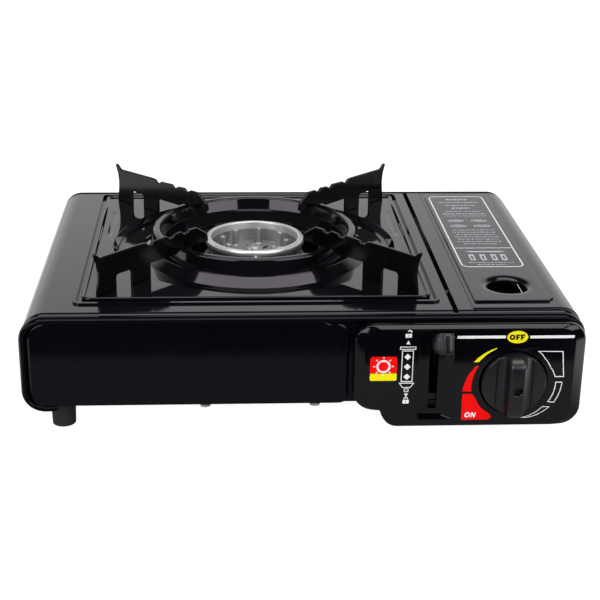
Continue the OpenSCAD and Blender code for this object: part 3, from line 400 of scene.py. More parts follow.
@dataclass(frozen=True)
class Ink(Finish):
    """Printed ink: a thin even film with a slightly uneven cover."""

    roughness: float = 0.42
    spread: float = 0.06
    depth: float = 0.000004
    specular: float = 0.1
    drift: float = 0.0009
    drift_band: Flat = (0.3, 0.6)

    def sockets(self, graph: Graph) -> dict[int | str, Any]:
        """What changes over the surface.

        Args:
            graph: The material's graph.

        Returns:
            The values of the shader's sockets.
        """
        cover = graph.band(graph.grain(self.drift), *self.drift_band)
        return {
            "Base Color": graph.tint(cover, self.second, self.colour),
            "Roughness": self._uneven(cover),
            "Normal": graph.bump(graph.grain(self.texture, 1.0), self.depth),
        }


TOP_ENAMEL = Enamel(
    "top_enamel", Slot.ENAMEL, (0.0018, 0.0016, 0.0026), (0.0028, 0.0025, 0.004), 0.05, 0.05,
    specular=0.39,
)
PAN_ENAMEL = Enamel(
    "pan_enamel", Slot.ENAMEL, (0.0016, 0.0015, 0.0022), (0.0026, 0.0024, 0.0034), 0.04, 0.04,
    depth=0.000015, specular=0.44,
)
FRONT_ENAMEL = Enamel(
    "front_enamel", Slot.ENAMEL, (0.0014, 0.0014, 0.003), (0.002, 0.002, 0.0042), 0.08, 0.05,
    specular=0.2,
)
GRID_ENAMEL = Enamel(
    "grid_enamel", Slot.ENAMEL, (0.0010, 0.0010, 0.0012), (0.0016, 0.0016, 0.002), 0.12, 0.08,
    depth=0.00004, specular=0.4, peel=0.004,
)
HEM_ENAMEL = Enamel(
    "hem_enamel", Slot.ENAMEL, (0.0014, 0.0014, 0.0024), (0.002, 0.002, 0.0032), 0.08, 0.05,
    specular=0.1,
)
TRAY_PAINT = Finish(
    "tray_paint", Slot.PAINTED, (0.020, 0.020, 0.022), (0.030, 0.030, 0.033), 0.42, 0.06, 0.0009
)
ZINC = Metal(
    "zinc_plate", Slot.ZINC, (0.55, 0.56, 0.58), (0.68, 0.69, 0.70), 0.34, 0.08, 0.0006, 0.000006,
    metallic=1.0, stretch=(1.0, 0.08, 1.0),
)
CASTING = Metal(
    "die_casting", Slot.ALUMINIUM, (0.20, 0.195, 0.19), (0.27, 0.265, 0.26), 0.58, 0.08, 0.0008,
    0.00003, metallic=1.0,
)
BURNER_ALLOY = Metal(
    "burner_alloy", Slot.ALUMINIUM, (0.32, 0.31, 0.32), (0.44, 0.43, 0.44), 0.52, 0.06, 0.0007,
    metallic=1.0,
)
TURNED_ALLOY = Metal(
    "turned_alloy", Slot.ALUMINIUM, (0.72, 0.71, 0.73), (0.84, 0.83, 0.85), 0.44, 0.06, 0.0004,
    0.000006, metallic=1.0, stretch=(1.0, 1.0, 12.0),
)
BRASS = Metal(
    "brass", Slot.BRASS, (0.62, 0.43, 0.17), (0.76, 0.56, 0.27), 0.30, 0.08, 0.0005, 0.000005,
    metallic=1.0, stretch=(1.0, 0.1, 1.0),
)
# Dark steel on the hinge rod and the knob's screw. On the heat shield and the pusher plate, which
# are seen through the lid's sight hole, its darkness is painted shade for the shaded bay under the
# lid.
BLACKENED_STEEL_AND_PAINTED_SHADE = Metal(
    "blackened_steel_and_painted_shade", Slot.ZINC, (0.05, 0.05, 0.052), (0.08, 0.08, 0.083), 0.45, 0.08, 0.0005,
    0.000006, metallic=1.0,
)
PANEL_PLASTIC = Finish(
    "panel_plastic", Slot.PLASTIC, (0.0012, 0.0012, 0.0024), (0.0018, 0.0018, 0.0032), 0.07, 0.03,
    0.0005, 0.000003, specular=0.36,
)
KNOB_PLASTIC = Finish(
    "knob_plastic", Slot.PLASTIC, (0.0065, 0.0062, 0.009), (0.009, 0.0086, 0.012), 0.28, 0.05,
    0.0005, 0.000008,
)
NATURAL_PLASTIC = Finish(
    "natural_plastic", Slot.NATURAL, (0.72, 0.69, 0.60), (0.78, 0.75, 0.67), 0.45, 0.05, 0.001
)
CERAMIC = Finish(
    "ceramic", Slot.CERAMIC, (0.80, 0.78, 0.73), (0.86, 0.84, 0.79), 0.35, 0.08, 0.0008, coat=0.4
)
SLEEVE = Finish(
    "wire_sleeve", Slot.SLEEVE, (0.48, 0.48, 0.45), (0.58, 0.57, 0.54), 0.55, 0.06, 0.0006
)
RUBBER = Finish(
    "rubber", Slot.RUBBER, (0.010, 0.010, 0.010), (0.016, 0.016, 0.016), 0.62, 0.10, 0.0007,
    0.00004, specular=0.3,
)
WHITE_INK = Ink("white_ink", Slot.PLASTIC, (0.84, 0.84, 0.84), (0.76, 0.76, 0.77))
RED_INK = Ink("red_ink", Slot.PLASTIC, (0.92, 0.004, 0.004), (0.86, 0.003, 0.003))
YELLOW_INK = Ink("yellow_ink", Slot.PLASTIC, (0.92, 0.80, 0.006), (0.87, 0.74, 0.006))
DARK_INK = Ink("dark_ink", Slot.PLASTIC, (0.02, 0.018, 0.012), (0.03, 0.027, 0.018), 0.5)
FAINT_INK = Ink("faint_ink", Slot.ENAMEL, (0.46, 0.45, 0.50), (0.36, 0.35, 0.40), specular=0.4)
LABEL_INK = Ink("label_ink", Slot.ENAMEL, (0.68, 0.67, 0.71), (0.58, 0.57, 0.61), specular=0.4)


# ---------- flat drawing ----------


def span(node: str) -> tuple[Vector, Vector]:
    """Lowest and highest corner of a CAD node, in millimetres."""
    low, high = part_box(node)
    return low / MM, high / MM


def ease(x: float, low: float, high: float) -> float:
    """Smooth step from 0 at low to 1 at high."""
    t = min(1.0, max(0.0, (x - low) / (high - low)))
    return t * t * (3 - 2 * t)


def quarter(steps: int) -> list[Flat]:
    """Sine and cosine of steps + 1 angles from 0 to 90 degrees."""
    angles = (math.pi / 2 * k / steps for k in range(steps + 1))
    return [(math.sin(a), math.cos(a)) for a in angles]


def arc(centre: Flat, radius: float, start: float, end: float, steps: int) -> Loop:
    """Points of an arc.

    Args:
        centre: The arc's centre.
        radius: Its radius.
        start: First angle, in degrees.
        end: Last angle, in degrees.
        steps: Number of steps between them.

    Returns:
        steps + 1 points.
    """
    angles = (math.radians(start + (end - start) * i / steps) for i in range(steps + 1))
    return [(centre[0] + radius * math.cos(a), centre[1] + radius * math.sin(a)) for a in angles]


def circle(centre: Flat, radius: float, steps: int, squash: float = 1.0) -> Loop:
    """Closed circle or, with squash, an ellipse."""
    ring = arc((0.0, 0.0), radius, 0, 360, steps)[:-1]
    return [(centre[0] + x, centre[1] + y * squash) for x, y in ring]


def fillet(corners: Sequence[Point], steps: int, closed: bool = True) -> Loop:
    """Polygon or polyline with rounded corners.

    Args:
        corners: Place and radius of each corner.
        steps: Steps in each rounding.
        closed: False keeps the two ends as they are.

    Returns:
        steps + 1 points for each rounded corner, so that like shapes match point by point.
    """
    count = len(corners)
    straight = math.radians(89.5)
    loop: Loop = []
    for i, (x, y, radius) in enumerate(corners):
        here = Vector((x, y))
        if not closed and i in (0, count - 1):
            loop.append((x, y))
            continue
        before = (Vector(corners[i - 1][:2]) - here).normalized()
        after = (Vector(corners[(i + 1) % count][:2]) - here).normalized()
        half = before.angle(after) / 2
        if radius <= 0 or half > straight:
            loop.extend([(x, y)] * (steps + 1) if closed else [(x, y)])
            continue
        centre = here + (before + after).normalized() * (radius / math.sin(half))
        first = here + before * (radius / math.tan(half)) - centre
        last = here + after * (radius / math.tan(half)) - centre
        turn = first.angle_signed(last)
        for k in range(steps + 1):
            spot = centre + Matrix.Rotation(-turn * k / steps, 2) @ first
            loop.append((spot.x, spot.y))
    return loop


def round_rect(low: Flat, high: Flat, radius: float, steps: int) -> Loop:
    """Rectangle with round corners, anticlockwise from its lower left."""
    (x0, y0), (x1, y1) = low, high
    return fillet([(x, y, radius) for x, y in ((x0, y0), (x1, y0), (x1, y1), (x0, y1))], steps)


def rect(x0: float, y0: float, x1: float, y1: float) -> Loop:
    """Rectangle with sharp corners, anticlockwise from its lower left."""
    return [(x0, y0), (x1, y0), (x1, y1), (x0, y1)]


def evened(path: Loop, pitch: float = 12.0) -> Loop:
    """Adds points to a path's long runs.

    Args:
        path: The path.
        pitch: The most that two points may lie apart.

    Returns:
        The path with the added points.
    """
    out: Loop = []
    for (ax, az), (bx, bz) in zip(path, path[1:]):
        count = max(1, math.ceil(math.hypot(bx - ax, bz - az) / pitch))
        out += [(ax + (bx - ax) * k / count, az + (bz - az) * k / count) for k in range(count)]
    return out + [path[-1]]


def turned(loop: Loop, angle: float, shift: Flat) -> Loop:
    """The loop turned by an angle in degrees, and shifted."""
    c, s = math.cos(math.radians(angle)), math.sin(math.radians(angle))
    return [(c * x - s * y + shift[0], s * x + c * y + shift[1]) for x, y in loop]


def area(loop: Loop) -> float:
    """Signed area: positive where the loop runs anticlockwise."""
    return sum(ax * by - bx * ay for (ax, ay), (bx, by) in zip(loop, loop[1:] + loop[:1])) / 2


def wound(loop: Loop) -> Loop:
    """The loop anticlockwise."""
    return loop if area(loop) > 0 else loop[::-1]


def inset(loop: Loop, amount: float) -> Loop:
    """Moves a loop sideways, with mitred corners.

    Args:
        loop: The loop.
        amount: How far it moves to its left.

    Returns:
        The moved loop, point by point.
    """
    out: Loop = []
    count = len(loop)
    for i, spot in enumerate(loop):
        around = [loop[(i + k) % count] for k in range(1, count)]
        ahead = next((other for other in around if math.dist(other, spot) > SAME), spot)
        back = next((other for other in around[::-1] if math.dist(other, spot) > SAME), spot)
        first = Vector((spot[0] - back[0], spot[1] - back[1])).normalized()
        second = Vector((ahead[0] - spot[0], ahead[1] - spot[1])).normalized()
        left = Vector((-first.y, first.x))
        middle = left + Vector((-second.y, second.x))
        if middle.length < 10 * SAME:
            out.append(spot)
            continue
        middle.normalize()
        reach = amount / max(MITRE, middle.dot(left))
        out.append((spot[0] + middle.x * reach, spot[1] + middle.y * reach))
    return out


def soft_edge(radius: float, steps: int) -> list[Flat]:
    """Steps inwards and depths of a rounded edge, from the face to the side."""
    return [(radius * (1 - s), radius * (1 - c)) for s, c in quarter(steps)]


def column(height: float, half: float, soft: float, steps: int, between: int) -> Loop:
    """Side view of a moulded bar: up, round its end, along its top and down again.

    Args:
        height: Height of the bar.
        half: Half its length.
        soft: Radius of its ends.
        steps: Steps in each rounding.
        between: Steps along the top.

    Returns:
        Places along the bar with their heights.
    """
    soft = min(soft, 0.85 * height, 0.8 * half)  # a short bar keeps some flat side and top
    side: Loop = [(-half, 0.0)]
    side += [(-half + soft * (1 - c), height - soft * (1 - s)) for s, c in quarter(steps)]
    reach = half - soft
    side += [(-reach + 2 * reach * k / between, height) for k in range(1, between)]
    return side + [(-x, h) for x, h in reversed(side[: steps + 2])]


# ---------- meshes ----------


class Shell:
    """Points in millimetres and the faces between them, gathered into one mesh."""

    def __init__(self) -> None:
        """Starts empty."""
        self.points: list[Point] = []
        self.faces: list[tuple[int, ...]] = []

    def ring(self, points: Iterable[Point]) -> list[int]:
        """Adds points.

        Args:
            points: The points.

        Returns:
            Their indices.
        """
        start = len(self.points)
        self.points.extend(points)
        return list(range(start, len(self.points)))

    def skin(self, first: list[int], second: list[int], closed: bool = True) -> None:
        """Adds quads between two rows.

        Args:
            first: Indices of the first row.
            second: As many indices of the second row.
            closed: True where the rows run round.
        """
        count = len(first)
        for i in range(count if closed else count - 1):
            j = (i + 1) % count
            self.faces.append((first[i], first[j], second[j], second[i]))

    def loft(self, rows: Sequence[Sequence[Point]]) -> list[list[int]]:
        """Adds rows of points that run round, with quads between them.

        Args:
            rows: The rows, each with the same number of points.

        Returns:
            The rows' indices.
        """
        rings = [self.ring(row) for row in rows]
        for first, second in zip(rings, rings[1:]):
            self.skin(first, second)
        return rings

    def stack(self, rows: Sequence[tuple[Loop, float]], place: Place) -> list[list[int]]:
        """Lofts flat loops at their depths.

        Args:
            rows: The loops with their depths.
            place: Turns flat x, flat y and depth into a point.

        Returns:
            The rows' indices.
        """
        return self.loft([[place(x, y, depth) for x, y in loop] for loop, depth in rows])

    def fan(self, columns: Sequence[list[int]]) -> None:
        """Adds quads between open columns of points, side by side."""
        for first, second in zip(columns, columns[1:]):
            self.skin(first, second, closed=False)

    def close(self, *rings: list[int]) -> None:
        """Closes rings of points with one face each."""
        self.faces.extend(tuple(ring) for ring in rings)

    def cap(self, loops: Sequence[Loop], rings: Sequence[list[int]]) -> None:
        """Fills a flat outline and its holes with triangles.

        Args:
            loops: The outline and its holes, as flat points.
            rings: The indices of the same points.
        """
        order = [i for ring in rings for i in ring]
        flat = [[Vector((x, y, 0.0)) for x, y in loop] for loop in loops]
        for triangle in tessellate_polygon(flat):
            self.faces.append(tuple(order[i] for i in triangle))

    def plate(
        self,
        outline: Loop,
        holes: Sequence[Loop],
        depth: float,
        soft: float,
        place: Place,
        steps: int = 3,
        margin: float = 0.0,
    ) -> None:
        """Adds a plate with rounded front edges.

        Args:
            outline: Its outline.
            holes: Its holes.
            depth: Its thickness.
            soft: Radius of its front edges.
            place: Turns flat x, flat y and depth into a point.
            steps: Steps in each rounding.
            margin: Width of a strip beside the roundings that keeps the face's shading flat.
        """
        loops = [wound(outline)] + [wound(hole)[::-1] for hole in holes]
        profile = soft_edge(soft, steps) + [(0.0, depth)]
        if margin > 0:
            profile.insert(0, (soft + margin, 0.0))
        rows = [[(inset(loop, step), sunk) for step, sunk in profile] for loop in loops]
        rings = [self.stack(row, place) for row in rows]
        for end in (0, -1):
            self.cap([row[end][0] for row in rows], [ring[end] for ring in rings])

    def lathe(self, profile: Loop, centre: Flat, steps: int, closed: bool = True) -> None:
        """Turns a profile of radius and height about an upright axis.

        Args:
            profile: Radii and heights.
            centre: Place of the axis.
            steps: Steps round the axis.
            closed: True joins the profile's end to its start.
        """
        rows = [(circle(centre, radius, steps), height) for radius, height in profile]
        rings = self.stack(rows, lambda x, y, z: (x, y, z))
        if closed:
            self.skin(rings[-1], rings[0])
        else:
            self.close(rings[0], rings[-1])

    def tube(self, path: Loop, radius: float, y: float, deep: float = 1.0) -> None:
        """Adds a tube with closed ends along an open path in a plane across Y.

        Args:
            path: X and Z of the tube's middle line.
            radius: The tube's radius.
            y: Y of its middle line.
            deep: Factor on its radius along Y.
        """
        angles = [2 * math.pi * k / TUBE_STEPS for k in range(TUBE_STEPS)]
        rows = []
        for i, (x, z) in enumerate(path):
            (ax, az), (bx, bz) = path[max(0, i - 1)], path[min(len(path) - 1, i + 1)]
            along = Vector((bx - ax, bz - az)).normalized()
            rows.append([
                (
                    x - along.y * radius * math.cos(a),
                    y + deep * radius * math.sin(a),
                    z + along.x * radius * math.cos(a),
                )
                for a in angles
            ])
        rings = self.loft(rows)
        self.close(rings[0], rings[-1])

    def piece(self, name: str, finish: Finish, body: Body, *nodes: str, sharp: float) -> None:
        """Makes the mesh's object and hands it over.

        Args:
            name: The piece's name.
            finish: Its finish.
            body: The body that it rides on.
            nodes: CAD nodes that it stands for.
            sharp: Angle above which an edge stays sharp, in degrees.
        """
        mesh = bpy.data.meshes.new(name)
        mesh.from_pydata([(x * MM, y * MM, z * MM) for x, y, z in self.points], [], self.faces)
        hand_over(mesh, finish, body, *nodes, sharp=sharp)


def hand_over(
    mesh: bpy.types.Mesh,
    finish: Finish,
    body: Body,
    *nodes: str,
    sharp: float,
    rounding: float = 0.0,
) -> None:
    """Cleans a mesh, dresses it and lets it ride on a body.

    Args:
        mesh: The mesh, in metres, which has the piece's name.
        finish: The piece's finish.
        body: The body that it rides on.
        nodes: CAD nodes that it stands for.
        sharp: Angle above which an edge is sharp, in degrees.
        rounding: Radius of a rounding on its sharp edges, in millimetres.
    """
    work = bmesh.new()
    work.from_mesh(mesh)
    bmesh.ops.remove_doubles(work, verts=work.verts, dist=WELD)
    bmesh.ops.dissolve_degenerate(work, edges=work.edges, dist=SLIVER)
    if rounding > 0:
        level = math.radians(LEVEL_ANGLE)
        bmesh.ops.dissolve_limit(work, angle_limit=level, verts=work.verts, edges=work.edges)
    bmesh.ops.recalc_face_normals(work, faces=work.faces)
    work.to_mesh(mesh)
    work.free()
    mesh.polygons.foreach_set("use_smooth", [True] * len(mesh.polygons))
    piece = bpy.data.objects.new(mesh.name, mesh)
    bpy.context.scene.collection.objects.link(piece)
    if rounding > 0:
        bevel = piece.modifiers.new("edge_rounding", "BEVEL")
        bevel.width = rounding * MM
        bevel.segments = BEVEL_STEPS
        bevel.limit_method = "ANGLE"
        bevel.angle_limit = math.radians(sharp)
        bevel.use_clamp_overlap = True
    mesh.set_sharp_from_angle(angle=math.radians(EASED_SHARP if rounding > 0 else sharp))
    piece.modifiers.new("weighted_normals", "WEIGHTED_NORMAL").keep_sharp = True
    mesh.materials.clear()
    mesh.materials.append(finish.material())
    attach(piece, body.value)
    if nodes:
        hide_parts(*nodes)
    log.info("%s on %s: %d faces", piece.name, body.value, len(mesh.polygons))


def copy_of(node: str, name: str) -> bpy.types.Mesh:
    """A CAD node's mesh under a name of its own."""
    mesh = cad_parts[node].data.copy()
    mesh.name = name
    return mesh


def eased(body: Body, *rows: tuple[str, str, Finish, float]) -> None:
    """Copies CAD nodes with rounded edges, which stand for the nodes.

    Args:
        body: The body that the pieces ride on.
        rows: Each node with its piece's name, its finish and the rounding in millimetres.
    """
    for node, name, finish, radius in rows:
        mesh = copy_of(node, name)
        hand_over(mesh, finish, body, node, sharp=NODE_SHARP, rounding=radius)


# ---------- case ----------


@dataclass
class Case:
    """The pressed case: its top sheet, front and back plates, rims, hems and trays."""

    plate_edge: float = 0.4
    sheet_edge: float = 0.25
    corner: float = 14.0
    hem: float = 2.2
    hem_steps: int = 10
    hem_foot: float = 0.6
    front_hem_start: float = -151.0
    front_hem_tail: tuple[Point, ...] = ((0.2, 50.0, 30.0), (1.4, 26.0, 0.0))
    left_proud: float = 1.4
    right_proud: float = 1.2
    front_deep: float = 2.0
    front_inside: float = 0.6
    front_sunk: float = 0.9
    back_proud: float = 3.8
    back_sunk: float = 0.4
    back_ends: Flat = (6.0, 16.0)
    field: Rect = (-167.3, 23.7, 21.2, 78.3)
    field_soft: float = 2.0
    field_depth: float = 2.6
    field_margin: float = 2.0
    field_lift: float = 0.15
    skirt: Point = (-158.0, -100.0, 23.7)
    # A dark sheet behind the rear vents, painted shade for the case's shaded inside:
    shade_sheet: Rect = (-157.0, 33.5, 62.0, 75.0)
    shade_sheet_thickness: float = 0.8
    shade_sheet_soft: float = 0.3
    shade_sheet_corner: float = 3.0
    shade_sheet_inside: float = 7.0

    def build(self) -> None:
        """Makes the case's pieces."""
        self.low, self.high = span("casing")
        rim = span("bay_front_rim")[1]
        self.right, self.top = rim.x, rim.z
        self.below = self.low.z + self.hem - self.hem_foot
        self._trimmed("casing", "case_top", TOP_ENAMEL, self.sheet_edge)
        self._trimmed("front_plate", "case_front", FRONT_ENAMEL, self.plate_edge)
        eased(
            Body.CASE,
            ("back_plate", "case_back", FRONT_ENAMEL, self.plate_edge),
            ("bay_front_rim", "rim_front", TOP_ENAMEL, self.sheet_edge),
            ("bay_rear_rim", "rim_rear", TOP_ENAMEL, self.sheet_edge),
        )
        self._trimmed("base_tray", "tray_left", TRAY_PAINT, self.sheet_edge)
        eased(Body.CASE, ("canister_tray", "tray_right", TRAY_PAINT, self.sheet_edge))
        self._front_hem()
        self._front_field()
        self._vent_shade_sheet()
        self._back_hem()

    def _trimmed(self, node: str, name: str, finish: Finish, radius: float) -> None:
        """Copies a CAD node with its lower front edge drawn up behind the raised field.

        Args:
            node: The CAD node.
            name: The piece's name.
            finish: Its finish.
            radius: Radius of its edges, in millimetres.
        """
        side, line, level = (size * MM for size in self.skirt)
        mesh = copy_of(node, name)
        work = bmesh.new()
        work.from_mesh(mesh)
        everything = work.verts[:] + work.edges[:] + work.faces[:]
        bmesh.ops.bisect_plane(work, geom=everything, plane_co=(0, line, 0), plane_no=(0, 1, 0))
        for vert in work.verts:
            if vert.co.y < line - MM and vert.co.x > side and vert.co.z < level:
                vert.co.z = level
        work.to_mesh(mesh)
        work.free()
        hand_over(mesh, finish, Body.CASE, node, sharp=NODE_SHARP, rounding=radius)

    def _front_hem(self) -> None:
        """The rolled edge round the front plate, from the left foot to the right side's foot."""
        r = self.hem
        left = self.low.x - self.left_proud + r
        right = self.right + self.right_proud - r
        top = self.top - r - self.front_sunk
        path = [
            (self.front_hem_start, self.below + self.hem_foot, 0.0),
            (left, self.below, self.corner - 2),
            (left, top, self.corner - r + 1),
            (right, top, self.corner - r + 1),
        ]
        path += [(right - inside, z, bend) for inside, z, bend in self.front_hem_tail]
        hem = Shell()
        line = evened(fillet(path, self.hem_steps, closed=False))
        hem.tube(line, r, self.low.y + self.front_inside, self.front_deep)
        hem.piece("hem_front", HEM_ENAMEL, Body.CASE, sharp=SOFT_SHARP)

    def _front_field(self) -> None:
        """The raised field of the front plate."""
        face = span("front_plate")[0].y - self.field_lift
        bend = self.corner - self.hem
        outline = round_rect(self.field[:2], self.field[2:], bend, self.hem_steps)
        field = Shell()
        field.plate(
            outline, [], self.field_depth, self.field_soft,
            lambda x, z, d: (x, face + d, z), steps=6, margin=self.field_margin,
        )
        field.piece("case_front_field", FRONT_ENAMEL, Body.CASE, sharp=SOFT_SHARP)

    def _vent_shade_sheet(self) -> None:
        """A dark sheet behind the rear vents, painted shade for the shaded inside of the case."""
        inside = self.high.y - self.shade_sheet_inside
        outline = round_rect(self.shade_sheet[:2], self.shade_sheet[2:], self.shade_sheet_corner, 4)
        shade_sheet = Shell()
        shade_sheet.plate(
            outline, [], self.shade_sheet_thickness, self.shade_sheet_soft, lambda x, z, d: (x, inside + d, z)
        )
        shade_sheet.piece("vent_painted_shade_sheet", TRAY_PAINT, Body.CASE, sharp=SOFT_SHARP)

    def _back_hem(self) -> None:
        """The rolled edge round the back plate."""
        r = self.hem
        left, right = self.low.x + r, self.right - r
        top, bend = self.top - r - self.back_sunk, self.corner - r
        first, last = (self.below + rise for rise in self.back_ends)
        path = [(left, first, 0.0), (left, top, bend), (right, top, bend), (right, last, 0.0)]
        hem = Shell()
        line = evened(fillet(path, self.hem_steps, closed=False))
        hem.tube(line, r, self.high.y - r + self.back_proud)
        hem.piece("hem_back", HEM_ENAMEL, Body.CASE, sharp=SOFT_SHARP)


# ---------- drip pan ----------


@dataclass
class DripPan:
    """Enamelled pan: a rolled rim, stamped ribs, a moat and a raised ring around the burner."""

    corner: float = 6.0
    least_corner: float = 0.4
    corner_steps: int = 10
    sheet: float = 1.0
    rise: float = 12.3
    moat_inside: float = 10.0
    moat_depth: float = 4.0
    hole_gap: float = 10.0
    foot_share: float = 0.64
    crest_share: float = 0.43
    profile_steps: int = 7
    rib_side: float = 100.6
    rib_depth: float = 0.35
    rib_half_width: float = 2.6
    rib_reach: Flat = (12.0, 72.0)
    rib_run: float = 8.0
    around: int = 512
    between: int = 26
    rim_under: int = 5
    rim: tuple[Flat, ...] = (
        (2.6, -1.45), (1.3, -1.5), (0.45, -1.3), (0.05, -0.6), (0.0, 0.2), (0.18, 0.85),
        (0.6, 1.25), (1.15, 1.4), (1.7, 1.27), (2.15, 0.9), (2.5, 0.45), (2.9, 0.14),
        (3.4, 0.02), (4.0, 0.0),
    )

    def build(self) -> None:
        """Makes the pan."""
        low, high = span("drip_pan")
        ring_low, ring_high = span("burner_ring")
        self.centre = ((ring_low.x + ring_high.x) / 2, (ring_low.y + ring_high.y) / 2)
        self.low, self.high = (low.x, low.y), (high.x, high.y)
        self.flat = high.z - self.rise
        self.moat = min(high.x - low.x, high.y - low.y) / 2 - self.moat_inside
        self.hole = ring_high.x - self.centre[0] + self.hole_gap
        upper = self._top_rows()
        lower = [[(x, y, z - self.sheet) for x, y, z in row] for row in upper[self.rim_under :]]
        shell = Shell()
        rings = shell.loft(upper + lower[::-1])
        shell.skin(rings[-1], rings[0])
        shell.piece("drip_pan_pressing", PAN_ENAMEL, Body.PAN, "drip_pan", sharp=SOFT_SHARP)

    def _outline(self, step: float) -> Loop:
        """The pan's outline.

        Args:
            step: How far inside the pan's edge it lies.

        Returns:
            The outline, with the same number of points for each step.
        """
        (x0, y0), (x1, y1) = self.low, self.high
        low, high = (x0 + step, y0 + step), (x1 - step, y1 - step)
        bend = max(self.least_corner, self.corner - step)
        loop = round_rect(low, high, bend, self.corner_steps)
        per = self.corner_steps + 1
        side = self.around // 4 - self.corner_steps
        out: Loop = []
        for k in range(4):
            out += loop[per * k : per * (k + 1)]
            (ax, ay), (bx, by) = out[-1], loop[per * (k + 1) % (4 * per)]
            out += [(ax + (bx - ax) * i / side, ay + (by - ay) * i / side) for i in range(1, side)]
        return out

    def _rib(self, x: float, y: float) -> float:
        """Depth of the stamped ribs.

        Args:
            x: Distance from the burner's centre along X.
            y: Distance from it along Y.

        Returns:
            The depth there.
        """
        across = abs(abs(x) - self.rib_side) / self.rib_half_width
        first, last = self.rib_reach
        along = ease(y, first, first + self.rib_run) * (1 - ease(y, last - self.rib_run, last))
        return self.rib_depth * (1 - across * across) ** 2 * along if across < 1 else 0.0

    def _top_rows(self) -> list[list[Point]]:
        """The pan's upper side.

        Returns:
            Rows of points, from under the rim inwards to the hole.
        """
        cx, cy = self.centre
        rows = [[(x, y, self.flat + up) for x, y in self._outline(step)] for step, up in self.rim]
        spots = []
        for x, y in self._outline(self.rim[-1][0]):
            length = math.hypot(x - cx, y - cy)
            spots.append(((x - cx) / length, (y - cy) / length, length))
        inner = self._ring_profile()
        for k in range(1, self.between):
            row = []
            for ux, uy, length in spots:
                r = length + (inner[0][0] - length) * (k / self.between)
                row.append((cx + ux * r, cy + uy * r, self.flat - self._rib(ux * r, uy * r)))
            rows.append(row)
        return rows + [[(cx + ux * r, cy + uy * r, z) for ux, uy, _ in spots] for r, z in inner]

    def _ring_profile(self) -> Loop:
        """The way from the flat down the moat, over the ring and down to the hole.

        Returns:
            Radii and heights.
        """
        moat, hole, rise, sunk = self.moat, self.hole, self.rise, self.moat_depth
        foot = hole + self.foot_share * (moat - hole)
        crest = hole + self.crest_share * (moat - hole)
        corners = (
            (moat + 1.6, 0.0, 0.0),
            (moat + 0.1, 0.0, 0.6),
            (moat - 3.0, 0.5 - sunk, 1.4),
            (moat - 5.5, -sunk, 3.0),
            (foot + 1.0, -sunk, 0.6),
            (crest + 4.6, 1.1, 1.0),
            (crest + 2.5, rise, 2.0),
            (crest - 2.1, rise, 2.0),
            (crest - 4.8, 4.1, 0.5),
            (hole + 6.0, -0.6, 3.0),
            (hole + 0.8, -1.0, 0.4),
            (hole, -1.6, 0.0),
        )
        raised = [(r, self.flat + up, bend) for r, up, bend in corners]
        return fillet(raised, self.profile_steps, closed=False)


@dataclass
class PanSupports:
    """Four pressed plates on the pan's diagonals."""

    edge: float = 0.9

    def build(self) -> None:
        """Dresses the four supports."""
        for corner in ("back_right", "back_left", "front_left", "front_right"):
            eased(Body.PAN, ("support_" + corner, "grid_" + corner, GRID_ENAMEL, self.edge))


# ---------- burner ----------


